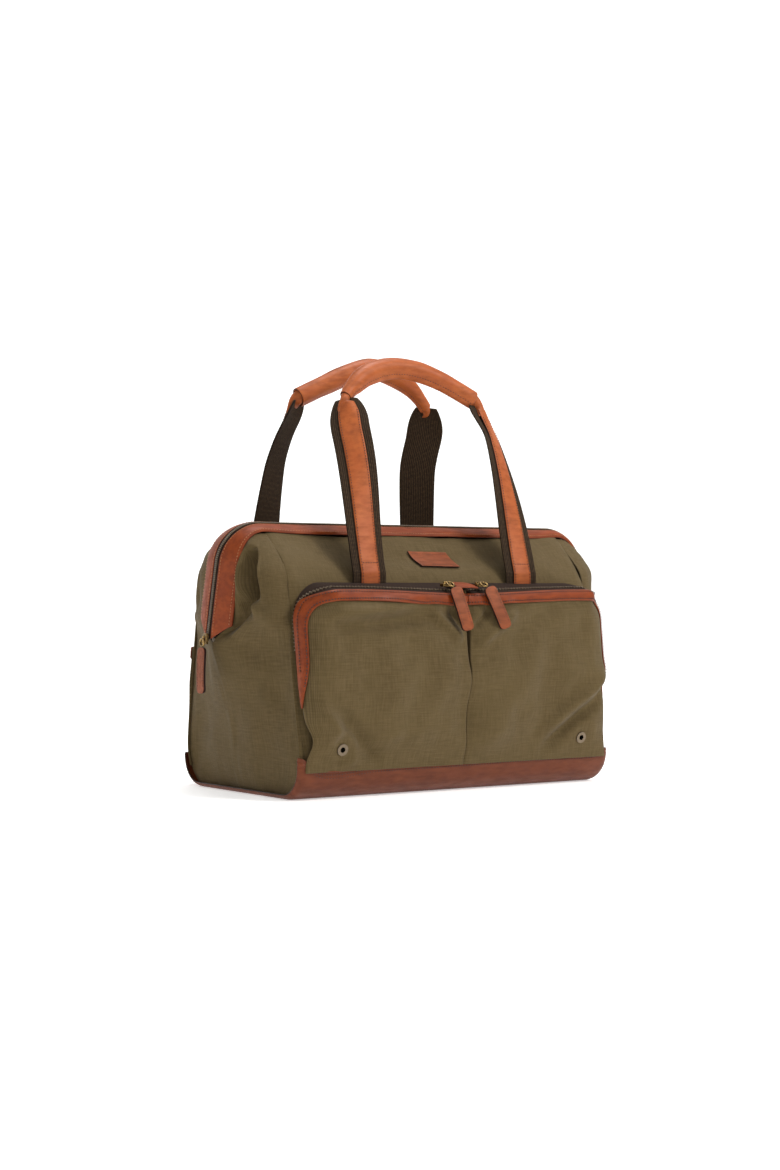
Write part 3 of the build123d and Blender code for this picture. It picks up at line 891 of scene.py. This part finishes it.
TAPE_FROM, TEETH_FROM = 40, 60
TAPE_RUN, TEETH_RUN = EDGE_RUN - TAPE_FROM, EDGE_RUN - TEETH_FROM
for name, side in SIDES.items():
    bm = laid_grid(lambda u, v: shelf_spot(side, TAPE_FROM + u * TAPE_RUN, v), 110, 10, (TAPE_RUN, 40))
    tape = piece(f"{name}_pocket_tape", bm, zip_tape, thick=0.8, levels=1, within=(side * 100, -110, 150))
    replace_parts(tape, f"{name}_pocket_zip_tape")
    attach(tape, "bag_body")

    def pocket_teeth_line(t):
        s = TEETH_FROM + t * TEETH_RUN
        spot = teeth_line(side, s)
        normal = (teeth_line(side, s, 0.02) - spot).cross(teeth_line(side, s + 1) - spot).normalized()
        return spot, normal if normal.dot(Vector((side, -0.3, 1))) > 0 else -normal

    bm = bmesh.new()
    count = teeth_row(bm, pocket_teeth_line, 2.0, 3.2, 2.6, 0.5)
    teeth = piece(f"{name}_pocket_zip_teeth", bm, gunmetal)
    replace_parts(teeth, f"{name}_pocket_teeth")
    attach(teeth, "bag_body")
    print(name, "pocket zip:", count, "teeth")

# %% [markdown]
# ## The mouth
# Two steel hoops hold the mouth in shape. Each is wrapped in a tan leather facing, and the zip runs between the
# facings, over the top and down both ends. Every strip here follows the same arch, in a plane that leans forward
# about the hinge, so a single function places them all by the distance along the arch and the distance off it.

# %% The arch
HINGE = Vector((0, 4, 170))
MOUTH_LEAN = math.radians(13)
ARCH_HALF, ARCH_HEIGHT, ARCH_ROUND = 248, 129.3, 45
ARCH_UP = Vector((0, -math.sin(MOUTH_LEAN), math.cos(MOUTH_LEAN)))
ARCH_FORWARD = Vector((0, -math.cos(MOUTH_LEAN), -math.sin(MOUTH_LEAN)))
TAPE_EDGE, FACING_EDGE, FOOT_RISE = 5, 27, 20
DROPS = {"front": (11, 5), "back": (3, 8.4)}
ARCH_SIDE = ARCH_HEIGHT - ARCH_ROUND
ARCH_TURN = ARCH_ROUND * math.pi / 2
ARCH_RUN = 2 * (ARCH_SIDE + ARCH_TURN + ARCH_HALF - ARCH_ROUND)


def arch_spot(face, s, b, lift=0.0):
    """s along the arch from its left foot, b off the mouth plane, lift above the leather."""
    fallen = max(0.0, (b - TAPE_EDGE) / (FACING_EDGE - TAPE_EDGE))
    drop_side, drop_top = (d * fallen for d in DROPS[face])
    foot = FOOT_RISE * fallen if b > TAPE_EDGE else 0.0
    half, height, r = ARCH_HALF - drop_side, ARCH_HEIGHT - drop_top, ARCH_ROUND - drop_side
    side = -1 if s < ARCH_RUN / 2 else 1
    s = min(s, ARCH_RUN - s)
    if s < ARCH_SIDE:
        p, q = half, foot + (height - r - foot) * s / ARCH_SIDE
        out = (1, 0)
    elif s < ARCH_SIDE + ARCH_TURN:
        angle = (s - ARCH_SIDE) / ARCH_ROUND
        out = (math.cos(angle), math.sin(angle))
        p, q = half - r + r * out[0], height - r + r * out[1]
    else:
        share = (s - ARCH_SIDE - ARCH_TURN) / (ARCH_HALF - ARCH_ROUND)
        p, q = (half - r) * (1 - share), height
        out = (0, 1)
    p, q = p + out[0] * lift, q + out[1] * lift
    forward = ARCH_FORWARD * (-FACES[face] * b)
    return HINGE + Vector((side * p, 0, 0)) + ARCH_UP * q + forward


def narrowed(face, s):
    """How much less of the front leather shows on top, and least at its corners, where the canvas reaches over."""
    s = min(s, ARCH_RUN - s) - ARCH_SIDE - ARCH_TURN
    return 3 * smooth(s, -ARCH_TURN, 0) + 4 * hump(s, -8, 34) if face == "front" else 0.0


def facing_place(face):
    def place(u, v):
        s = u * ARCH_RUN
        b = TAPE_EDGE + (FACING_EDGE - narrowed(face, s) - TAPE_EDGE) * v
        crown = 1.8 * (1 - abs(2 * v - 1) ** 3) + 0.5 * crumple((s, b, 0), 40, 1.0, 31)
        lip = 1.2 * hump(v, 0.0, 0.1)
        return arch_spot(face, s, b, crown + lip - 0.6 - 2.0 * max(0, v - 0.93) / 0.07)

    return place


# %% Facings, tape and teeth
TEETH_OFF = 0.9  # the teeth's distance off the mouth plane
for face in FACES:
    place = facing_place(face)
    bm = laid_grid(place, 300, 12, (ARCH_RUN, FACING_EDGE - TAPE_EDGE))
    facing = piece(f"{face}_mouth_leather", bm, tan_hide, edge_paint, thick=2.0, levels=1, within=(0, 0, 150))
    dark_edged(facing)
    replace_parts(facing, f"{face}_facing")
    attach(facing, f"{face}_frame")

    def facing_row(v):
        def line(t):
            s = t * ARCH_RUN
            out = (arch_spot(face, s, 10, 1) - arch_spot(face, s, 10)).normalized()
            return Vector(place(t, v)) + out * 0.15, out

        return line

    bm = bmesh.new()
    for v in (0.1, 0.9):
        sew(bm, facing_row(v), 3.4, 0.7, start=0.004, end=0.996)
    seam = piece(f"{face}_mouth_stitches", bm, tan_thread)
    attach(seam, f"{face}_frame")

    def tape_place(u, v):
        b = TEETH_OFF + (TAPE_EDGE + 1.5 - TEETH_OFF) * v
        s = u * ARCH_RUN
        fallen = arch_spot(face, s, min(b, TAPE_EDGE), -1.1 * v)
        return fallen + ARCH_FORWARD * (-FACES[face] * max(0, b - TAPE_EDGE))

    bm = laid_grid(tape_place, 300, 4, (ARCH_RUN, 6))
    tape = piece(f"{face}_mouth_zip_tape", bm, zip_tape, thick=0.8, within=(0, 0, 150))
    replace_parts(tape, f"{face}_mouth_tape")
    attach(tape, f"{face}_frame")

    def mouth_teeth_line(t):
        s = 2 + t * (ARCH_RUN - 4)
        spot = arch_spot(face, s, TEETH_OFF)
        return spot, (arch_spot(face, s, TEETH_OFF, 1) - spot).normalized()

    bm = bmesh.new()
    count = teeth_row(bm, mouth_teeth_line, 2.2, 0.0, 2.0, 0.5)
    teeth = piece(f"{face}_mouth_zip_teeth", bm, gunmetal)
    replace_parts(teeth, f"{face}_mouth_teeth")
    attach(teeth, f"{face}_frame")
    print(face, "half of the mouth:", count, "teeth, arch", round(ARCH_RUN), "mm")

# %% [markdown]
# ## Handles
# Each handle is two lengths of cotton webbing with a tan leather strip sewn down the outside. Near the top the
# webbing is cut to rounded shoulders, and the strip goes on as a rolled neck into the grip, a leather tube that is
# wrapped round a filler and sewn along its underside.

# %% Handle planes and strips
STRAP_X, STRAP_PIVOT, STRAP_HALF, STRIP_HALF = 105, 243.5, 22, 12.5
SHOULDER, NECK_FOOT, LEG_LENGTH = 172, 204, 208
GRIP_RADIUS, FILLER_RADIUS, GRIP_THIN, GRIP_TAPER = 11.4, 8.0, 0.4, 0.1
STRAP_TWIST, BACK_DRIFT = math.radians(32), 8
# y at the fold, lean in degrees, outward bow
HANDLES = {"front": (-98, 18.7, 9), "back": (106, 11, 8)}
GRIP_KNOTS = {  # the grip's middle line as (x, height up the leg)
    "front": [(-92, 207), (-80, 220), (-56, 237), (-20, 247), (16, 244.5), (52, 232), (88, 213)],
    "back": [(-93, 207), (-58, 224), (-24, 239), (6, 246.5), (38, 240), (68, 224), (91, 203)],
}
grip_splines = {face: through([(x, s, 0) for x, s in knots]) for face, knots in GRIP_KNOTS.items()}


def leg_spot(face, x, s, out=0.0):
    """A spot on a handle's leg: x across, s up from the fold, out towards the handle's outer side."""
    y, lean, bow = HANDLES[face]
    turn, outer = math.radians(lean), FACES[face]
    up = Vector((0, -outer * math.sin(turn), math.cos(turn)))
    outward = Vector((0, outer * math.cos(turn), math.sin(turn)))
    if s < 0:
        return Vector((x, y + outer * (out + 0.5), STRAP_PIVOT + s))
    bowed = bow * math.sin(math.pi * min(1, s / LEG_LENGTH) ** 1.35)
    return Vector((x, y, STRAP_PIVOT)) + up * s + outward * (out + bowed)


def leg_middle(face, side, s):
    """The middle of a strap: it draws in towards the grip's end."""
    end = abs(GRIP_KNOTS[face][0 if side < 0 else -1][0])
    spread = 0 if face == "front" else 5
    return STRAP_X + spread - (7 + spread) * smooth(s, 0, 200) + (end - STRAP_X + 7) * smooth(s, 158, 212)


def strap_spot(face, side, s, across, out=0.0):
    """across runs from the handle's middle outwards; the strap twists to face outwards as it rises."""
    twist = STRAP_TWIST * smooth(s, 10 if face == "front" else -70, 185)
    x = side * (leg_middle(face, side, s) + across * math.cos(twist) + out * math.sin(twist))
    if face == "back":
        x -= BACK_DRIFT * smooth(s, 0, 45) * (1 - smooth(s, 120, 190))
    return leg_spot(face, x, s, out * math.cos(twist) - across * math.sin(twist))


def strap_place(face, side):
    def place(u, v):
        s = -20 + v * (NECK_FOOT + 20)
        over = max(0.0, s - SHOULDER) / (NECK_FOOT + 4 - SHOULDER)
        half = 7 + (STRAP_HALF - 7) * max(0.0, 1 - over**2) ** 0.7
        curl = 3.0 * (2 * u - 1) ** 2 * smooth(s, 150, 200)
        return strap_spot(face, side, s, (2 * u - 1) * half, -curl)

    return place


def strip_half(s):
    return STRIP_HALF - 5.5 * smooth(s, 180, 206)


def strip_place(face, side):
    def place(u, v):
        s = -19 + v * (NECK_FOOT - 6 + 19)
        across = 2 * u - 1
        crown = 3.0 + 0.9 * (1 - abs(across) ** 3) + 5.5 * smooth(s, 165, 204) * (1 - 0.8 * across**2)
        return strap_spot(face, side, s, across * strip_half(s), crown)

    return place


def grip_frame(face, t):
    """The grip's middle at t along it, its outer side and its crest."""
    x, s, _ = grip_splines[face](t)
    before, after = grip_splines[face](t - 0.01), grip_splines[face](t + 0.01)
    spot = leg_spot(face, x, s)
    along = (leg_spot(face, after.x, after.y) - leg_spot(face, before.x, before.y)).normalized()
    outward = (leg_spot(face, x, s, 1) - spot).normalized()
    crest = outward.cross(along).normalized()
    return spot, outward, crest if crest.z > 0 else -crest


def slimmed(face, t):
    """The grip's thickness along it: it is pulled thin at the end whose strap faces the bag's left front."""
    t = t if face == "front" else 1 - t
    return 1 - GRIP_THIN * (1 - smooth(t, 0, 0.36)) - GRIP_TAPER * smooth(t, 0.6, 1)


def grip_place(face, radius=GRIP_RADIUS, pinched=3.0):
    def place(u, v):
        spot, outward, crest = grip_frame(face, v)
        angle = 2 * math.pi * u
        pinch = hump(angle, math.pi, 0.6) if pinched else 0.0
        slim = slimmed(face, v)
        r = (radius + pinched * pinch) * slim
        if pinched:
            r += crumple((v * 170, angle * 8, 0), 18, 0.5, 41)
        wide = 1 - 0.45 * pinch
        return spot + outward * math.sin(angle) * r * wide + crest * math.cos(angle) * r

    return place


# %% Straps, strips and necks
for face in FACES:
    for name, side in SIDES.items():
        bm = laid_grid(strap_place(face, side), 12, 110, (44, 223))
        strap = piece(f"{face}_{name}_webbing", bm, strap_web, thick=2.6, offset=0, levels=1)
        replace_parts(strap, f"{face}_{name}_strap", *([f"{face}_handle_anchors"] if side < 0 else []))
        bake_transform(strap)

        place = strip_place(face, side)
        bm = laid_grid(place, 10, 100, (25, 214))
        behind = leg_spot(face, side * (STRAP_X - 30), 100, -60)
        strip = piece(f"{face}_{name}_leather", bm, strap_hide, edge_paint, thick=1.8, levels=1, within=behind)
        dark_edged(strip)
        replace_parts(strip, f"{face}_{name}_strip")
        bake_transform(strip)

        outward = Vector((0, FACES[face], 0.25)).normalized()
        bm = bmesh.new()
        for u in (0.09, 0.91):
            sew(bm, row_on(place, u, 0.45, outward, flip=True), 3.2, 1.0, start=0.01, end=0.95)
        sew(bm, row_on(place, 0.125, 0.45, outward), 3.2, 1.0, start=0.1, end=0.9)
        seam = piece(f"{face}_{name}_leather_stitches", bm, dark_thread)
        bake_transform(seam)

        end = 0.0 if side < 0 else 1.0
        inside, outward, crest = grip_frame(face, abs(end - 0.035))
        foot_s = NECK_FOOT - 16
        foot = strap_spot(face, side, foot_s, 0, 2)
        strap_wide = strap_spot(face, side, foot_s, 1, 2) - foot
        strap_deep = strap_spot(face, side, foot_s, 0, 3) - foot
        tip = grip_frame(face, end)[0]
        bend = tip + (tip - inside).normalized() * 9
        cord = 9.0 * slimmed(face, end)

        def neck(u, v):
            """Strip and webbing rolled together: flat on the strap at v = 0, a round cord in the grip at v = 1."""
            turn, roll = 2 * math.pi * u, smooth(v, 0.0, 0.7)
            middle = foot * (1 - v) ** 2 + bend * 2 * v * (1 - v) + inside * v**2
            wide = (strap_wide * (1 - roll) + crest * roll) * (strip_half(foot_s) * (1 - roll) + cord * roll)
            deep = (strap_deep * (1 - roll) + outward * roll) * (2.6 * (1 - roll) + cord * roll)
            return middle + wide * math.cos(turn) + deep * math.sin(turn)

        bm = laid_grid(neck, 28, 18, (50, 30), closed=True)
        roll = piece(f"{face}_{name}_neck", bm, strap_hide, levels=1)
        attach(roll, f"{face}_handle")

    place = grip_place(face)
    bm = laid_grid(place, 40, 90, (78, 200), closed=True)
    grip = piece(f"{face}_grip_leather", bm, strap_hide, edge_paint, thick=1.8, levels=1)
    dark_edged(grip)
    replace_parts(grip, f"{face}_grip")
    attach(grip, f"{face}_handle")
    bm = bmesh.new()
    for u in (0.41, 0.59):
        def grip_row(t):
            spot = Vector(place(u, t))
            return spot, (spot - grip_frame(face, t)[0]).normalized()

        sew(bm, grip_row, 3.6, 0.9, start=0.01, end=0.99)
    seam = piece(f"{face}_grip_stitches", bm, dark_thread)
    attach(seam, f"{face}_handle")

    filling = grip_place(face, FILLER_RADIUS, 0.0)
    bm = laid_grid(lambda u, v: filling(u, 0.05 + 0.9 * v), 16, 40, (50, 180), closed=True)
    ends = [e for e in bm.edges if e.is_boundary]
    bmesh.ops.holes_fill(bm, edges=ends)
    filler = piece(f"{face}_grip_rope", bm, rope, levels=1)
    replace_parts(filler, f"{face}_grip_core")
    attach(filler, f"{face}_handle")
print("handles made")

# %% [markdown]
# ## Pulls, sliders and small trim
# A zip pull is two layers of leather sewn together, hung from a wire ring. The sliders are small cast-metal boxes
# with a bridge that holds the ring. The plain label and the patch between the sliders are the last leather.

# %% Pulls
PULL_LENGTH, PULL_HALF, PULL_THICK = 50, 7.8, 2.8


def rounded_tab(place, name, body, node):
    """A leather tab with round ends: place(a, b, c) puts a across, b down and c out of the tab."""
    def on(u, v, c=0.0):
        b = PULL_LENGTH * v
        end = min(b, PULL_LENGTH - b)
        half = PULL_HALF - (5 - math.sqrt(max(0.0, 25 - (5 - end) ** 2)) if end < 5 else 0)
        return place((2 * u - 1) * half, b, c)

    bm = laid_grid(on, 8, 40, (2 * PULL_HALF, PULL_LENGTH))
    tab = piece(name, bm, pull_hide, edge_paint, thick=PULL_THICK, offset=0, bevel=0.5)
    dark_edged(tab)
    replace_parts(tab, node)
    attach(tab, body)
    bm = bmesh.new()
    for c in (-PULL_THICK / 2 - 0.1, PULL_THICK / 2 + 0.1):
        for a in (-5.6, 5.6):
            def line(t):
                spot = Vector(place(a, 5 + 38 * t, c))
                return spot, (spot - Vector(place(a, 5 + 38 * t, 0))).normalized()

            sew(bm, line, 3.0, 0.6)
    seam = piece(f"{name}_stitches", bm, dark_thread)
    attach(seam, body)


PULL_HANG, PULL_SPLAY = math.radians(12), {"left": math.radians(12), "right": math.radians(19)}
pocket_pivot_y, pocket_pivot_z, pocket_slider_x = -132.7, 231.5, 23
for name, side in SIDES.items():
    splay = PULL_SPLAY[name]
    down = Vector((math.sin(splay), -math.sin(PULL_HANG), -math.cos(PULL_HANG) * math.cos(splay))).normalized()
    across = Vector((math.cos(splay), 0, math.sin(splay)))
    out = down.cross(across).normalized()
    out = out if out.y < 0 else -out
    root = Vector((side * pocket_slider_x, pocket_pivot_y, pocket_pivot_z)) + Vector((0, -8.8, 0)) + down * 2

    def pocket_pull(a, b, c):
        return root + across * a + down * (b + 3.5) + out * (c + 1.2 * math.sin(b / PULL_LENGTH * 2.6))

    rounded_tab(pocket_pull, f"{name}_pull_leather", f"{name}_pull", f"{name}_pocket_pull")

mouth_root = Vector((-255.2, 4, 160.5))


def mouth_pull_place(a, b, c):
    return mouth_root + Vector((-c - 1.5 * math.sin(b / PULL_LENGTH * 2.4), a, -b))


rounded_tab(mouth_pull_place, "mouth_pull_leather", "mouth_pull", "mouth_pull")


# %% Sliders
BRIDGE_WIDTH = 2.4


def slider(name, spot, across, along, up, size, body, node):
    """A zip slider: a waisted body with rounded edges, and a bridge over it."""
    turn = Matrix((across, along, up)).transposed().to_4x4()
    wide, long, deep = size
    bm = bmesh.new()
    bmesh.ops.create_cube(bm, size=1, matrix=Matrix.Diagonal((wide, long, deep, 1)))
    bmesh.ops.subdivide_edges(bm, edges=bm.edges, cuts=3, use_grid_fill=True)
    for vert in bm.verts:
        waist = 1 - 0.2 * smooth(vert.co.y / long, -0.1, 0.5)
        vert.co.x *= waist
        vert.co.z *= 1 - 0.3 * (2 * vert.co.y / long) ** 2
    crossbar = ((0, -long * 0.1, deep * 0.78), (BRIDGE_WIDTH, long * 0.7, 1.2, 1))
    feet = [
        ((0, -long * 0.1 + reach * long * 0.3, deep * 0.5), (BRIDGE_WIDTH, 1.4, deep * 0.6, 1))
        for reach in (-1, 1)
    ]
    for middle, sizes in (crossbar, *feet):
        bmesh.ops.create_cube(bm, size=1, matrix=Matrix.Translation(middle) @ Matrix.Diagonal(sizes))
    for vert in bm.verts:
        vert.co = (Vector(spot) + turn.to_3x3() @ vert.co) * MM
    made = piece(name, bm, brass, bevel=0.45)
    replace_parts(made, node)
    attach(made, body)


X, Y, Z = Vector((1, 0, 0)), Vector((0, 1, 0)), Vector((0, 0, 1))
for name, side in SIDES.items():
    slider(f"{name}_slider_brass", (side * pocket_slider_x, -127, 228.4), Y, X * side, Z, (9, 11, 4.2),
           f"{name}_slider", f"{name}_pocket_slider")
slider("mouth_slider_brass", (-251, 4, 170), Y, ARCH_UP, -X, (9, 12, 4.0), "mouth_slider", "mouth_slider")

# %% Label and the patch between the sliders
LABEL_HALF, LABEL_SHEAR, LABEL_LIFT = 27, 6, 2.8
LABEL_RISE, LABEL_SHARE = 0.845, 0.12  # its middle and its height as shares of the panel's profile


def label_place(u, v):
    """The plain label: a slanted patch that lies on the front panel."""
    x = (2 * u - 1) * LABEL_HALF + (0.5 - v) * LABEL_SHEAR
    rise = LABEL_RISE + LABEL_SHARE * (v - 0.5)
    spot, normal = on_surface(lambda p, q: panel_spot("front", (2 * p - 1) * 200, q), 0.5 + x / 400, rise)
    return spot + (normal if normal.y < 0 else -normal) * LABEL_LIFT


bm = laid_grid(label_place, 30, 12, (54, 20))
label = piece("label_leather", bm, pull_hide, edge_paint, thick=1.6, bevel=0.3, within=(0, 0, 200))
dark_edged(label)
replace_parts(label, "plain_label")
bend_with_mouth(label, "front")
bm = bmesh.new()
for v in (0.12, 0.88):
    sew(bm, row_on(label_place, v, 0.1), 2.6, 0.5, start=0.05, end=0.95)
seam = piece("label_stitches", bm, dark_thread)
bend_with_mouth(seam, "front")


def bridge_place(u, v):
    x = (2 * u - 1) * 13.5
    y = -139.5 + 27 * v
    return x, y, 225.5 + 5.6 * v + 1.2 * math.sin(math.pi * v) + 0.8 * (1 - (2 * u - 1) ** 4)


bm = laid_grid(bridge_place, 16, 14, (27, 27))
bridge = piece("zip_bridge_leather", bm, tan_hide, thick=1.6, levels=1, within=(0, -126, 180))
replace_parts(bridge, "pocket_zip_bridge")
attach(bridge, "bag_body")
print("small leather made")

# %% [markdown]
# ## Back pocket and lining
# The back has one open slip pocket with a leather-bound top. Inside, a sand-coloured lining stands against the
# walls as far as the hinge. It shows when the mouth is open.

# %% Back slip pocket
SLIP_HALF, SLIP_TOP = 203, 157
slip_line = through([(129, 30, 0), (136, 52, 0), (142, 78, 0), (143.5, 116, 0), (137, SLIP_TOP, 0)])


def back_wall_y(z):
    return FRONT_FACE - (z - WALL_FOOT) * 24 / WALL_RISE


def slip_place(low, high):
    def place(u, v):
        at = slip_line(low + (high - low) * v)
        x = (2 * u - 1) * SLIP_HALF
        edge = min(1.0, max(0.0, (abs(x) - SLIP_HALF + 26) / 26))
        y = at.x + (back_wall_y(at.y) - at.x) * (1 - math.sqrt(1 - 0.9 * edge**2.5))
        y += crumple((x, 0, at.y), 50, 3.0, 51) + crumple((x, 0, at.y), 18, 0.7, 52)
        return x, y, at.y - 2.5 * hump(x, 0, 90) * smooth(at.y, 110, SLIP_TOP)

    return place


TRIM_SHARE = 0.92
bm = laid_grid(slip_place(0, 1), 110, 50, (380, 130))
slip = piece("back_pocket_canvas", bm, canvas, thick=1.4, levels=1, within=(0, 60, 90))
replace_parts(slip, "back_pocket_panel")
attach(slip, "bag_body")


def trim_place(u, v):
    spot = Vector(slip_place(TRIM_SHARE, 1.0)(u, v))
    return spot + Vector((0, 1.2 + 0.8 * (1 - (2 * v - 1) ** 2), 0.9 * v))


bm = laid_grid(trim_place, 110, 6, (380, 11))
trim = piece("back_pocket_binding", bm, tan_hide, thick=1.4, offset=0, levels=1)
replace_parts(trim, "back_pocket_trim")
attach(trim, "bag_body")
bm = bmesh.new()
for v in (0.18, 0.82):
    sew(bm, row_on(trim_place, v, 0.9, (0, 1, 0)), 3.4, 0.8, start=0.01, end=0.99)
seam = piece("back_pocket_stitches", bm, dark_thread)
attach(seam, "bag_body")

# %% Lining
LINING_TOP, LINING_FLOOR, LINING_HALF, LINING_DEEP, LINING_ROUND = 158, 6.2, 202, 123, 30
LINING_POWER = 0.22  # the smaller, the sharper its upright corners


def lining_place(u, v):
    """A rounded box of cloth: u round its walls, v from the floor up."""
    z = LINING_FLOOR + (LINING_TOP - LINING_FLOOR) * v
    front, back = (z - WALL_FOOT) * 0.163 - LINING_DEEP, LINING_DEEP - (z - WALL_FOOT) * 0.13
    if z < WALL_FOOT:
        tuck = LINING_ROUND - math.sqrt(max(0.0, LINING_ROUND**2 - (WALL_FOOT - z) ** 2))
        front, back = tuck - LINING_DEEP, LINING_DEEP - tuck
    angle = 2 * math.pi * u
    c, s = math.cos(angle), math.sin(angle)
    x = LINING_HALF * math.copysign(abs(c) ** LINING_POWER, c)
    y = (front + back) / 2 + (back - front) / 2 * math.copysign(abs(s) ** LINING_POWER, s)
    fold_in = 1 - 0.012 * smooth(v, 0.2, 1) * (1 + noise.noise(Vector((x, y, z)) / 45))
    return x * fold_in, (y - 4) * fold_in + 4, z


bm = laid_grid(lining_place, 240, 40, (1280, 152), closed=True)
rim = [e for e in bm.edges if e.is_boundary and all(v.co.z < (LINING_FLOOR + 1) * MM for v in e.verts)]
bmesh.ops.holes_fill(bm, edges=rim)
lining = piece("lining_cloth", bm, lining_cloth, thick=0.8, offset=1)
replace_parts(lining, "lining")
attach(lining, "bag_body")
print("lining made")

# %% [markdown]
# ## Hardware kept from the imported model
# The hoops, hinge pins, rings, eyelets and floor board already have their true shapes, so they stay and only get
# their finishes.

# %% Finishes for kept parts
KEPT = {
    "front_frame_wire": steel, "back_frame_wire": steel, "left_hinge_pin": gunmetal, "right_hinge_pin": gunmetal,
    "mouth_pull_ring": brass, "left_pocket_pull_ring": brass, "right_pocket_pull_ring": brass,
    "vent_eyelets": gunmetal,
    "base_board": leather("fibreboard, pressed", "6d5a48", "5d4c3c", "43362a", 0.7, 1.4, 0.3),
}
for name, material in KEPT.items():
    node = frame["nodes"][name]
    node.data.materials.clear()
    node.data.materials.append(material)
hidden = {n for o in bpy.data.objects for n in o.get("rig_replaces", [])}
print("nodes without a finish:", sorted(set(frame["nodes"]) - hidden - set(KEPT)))

# %% [markdown]
# ## Floor, light and camera
# The bag stands on a pale seamless sheet. One broad soft light stands to the right and above, a weaker one fills
# from the left, a third hangs over the bag, and the sky gives the rest.

# %% Stage
SHEET_GLOW, SKY_LIGHT = 0.46, 0.36
SHEET_WIDTH, SHEET_LENGTH, SHEET_NEAR = 16000, 8000, 3200
SHEET_FLAT, SHEET_TURN, SHEET_ROUND = 5000, 1600, 1000


def sheet_place(u, v):
    """Flat under the bag, then a quarter turn up behind it."""
    x, t = (u - 0.5) * SHEET_WIDTH, v * SHEET_LENGTH
    if t < SHEET_FLAT:
        return x, t - SHEET_NEAR, 0
    angle = min(1.0, (t - SHEET_FLAT) / SHEET_TURN) * math.pi / 2
    y = SHEET_FLAT - SHEET_NEAR + SHEET_ROUND * math.sin(angle)
    return x, y, SHEET_ROUND * (1 - math.cos(angle)) + max(0, t - SHEET_FLAT - SHEET_TURN)


bm = laid_grid(sheet_place, 20, 80, (9000, 8000))
material, tree, shader, where = new_material("paper, white, seamless")
grain = noisy(tree, where.outputs["Object"], 900)
plug(tree, shader, {
    "Base Color": mixed(tree, grain, linear("f6f5f3"), linear("fbfbfa")), "Roughness": 0.9,
    "Emission Color": (1, 1, 1, 1), "Emission Strength": SHEET_GLOW,
})
floor = piece("floor_sheet", bm, material, within=(0, 0, -4000))

world = bpy.data.worlds.new("studio")
bpy.context.scene.world = world
world.use_nodes = True
sky = world.node_tree.nodes["Background"]
sky.inputs[0].default_value = (1.0, 1.0, 1.0, 1)
seen = add_node(world.node_tree, "ShaderNodeLightPath").outputs["Is Camera Ray"]
world.node_tree.links.new(ranged(world.node_tree, seen, 0, 1, SKY_LIGHT, 1.0), sky.inputs[1])


def soft_light(name, spot, aim, size, watts):
    """A square area light of a size at a spot, both in metres, that points at aim."""
    data = bpy.data.lights.new(name, "AREA")
    data.shape, data.size, data.energy = "SQUARE", size, watts
    made = bpy.data.objects.new(name, data)
    bpy.context.scene.collection.objects.link(made)
    made.location = spot
    made.rotation_euler = (Vector(aim) - Vector(spot)).to_track_quat("-Z", "Y").to_euler()


middle = Vector((0, 0, 0.22))
soft_light("key", (1.3, -2.1, 2.0), middle, 0.9, 58)
soft_light("fill", (-2.2, -1.2, 1.2), middle, 1.6, 8)
soft_light("top", (0.3, 0.1, 2.4), middle, 1.2, 42)

# %% Camera
VIEW_AZIMUTH, VIEW_PITCH = math.radians(-34.8), math.radians(0.22)
VIEW_DISTANCE, VIEW_SIDE, VIEW_HEIGHT = 2.364, -0.0076, 0.2198
FOCAL, LONG_SIDE, SENSOR = 2043.7, 1170, 36
behind = Vector((math.sin(VIEW_AZIMUTH), -math.cos(VIEW_AZIMUTH), 0))
rightward = Vector((math.cos(VIEW_AZIMUTH), math.sin(VIEW_AZIMUTH), 0))
camera_data = bpy.data.cameras.new("camera")
camera_data.sensor_fit, camera_data.sensor_width = "AUTO", SENSOR
camera_data.lens = SENSOR * FOCAL / LONG_SIDE
camera = bpy.data.objects.new("camera", camera_data)
bpy.context.scene.collection.objects.link(camera)
camera.location = behind * VIEW_DISTANCE + rightward * VIEW_SIDE + Vector((0, 0, VIEW_HEIGHT))
look = -behind * math.cos(VIEW_PITCH) + Vector((0, 0, math.sin(VIEW_PITCH)))
camera.rotation_euler = look.to_track_quat("-Z", "Y").to_euler()
bpy.context.scene.camera = camera
bpy.context.scene.view_settings.view_transform = "Standard"
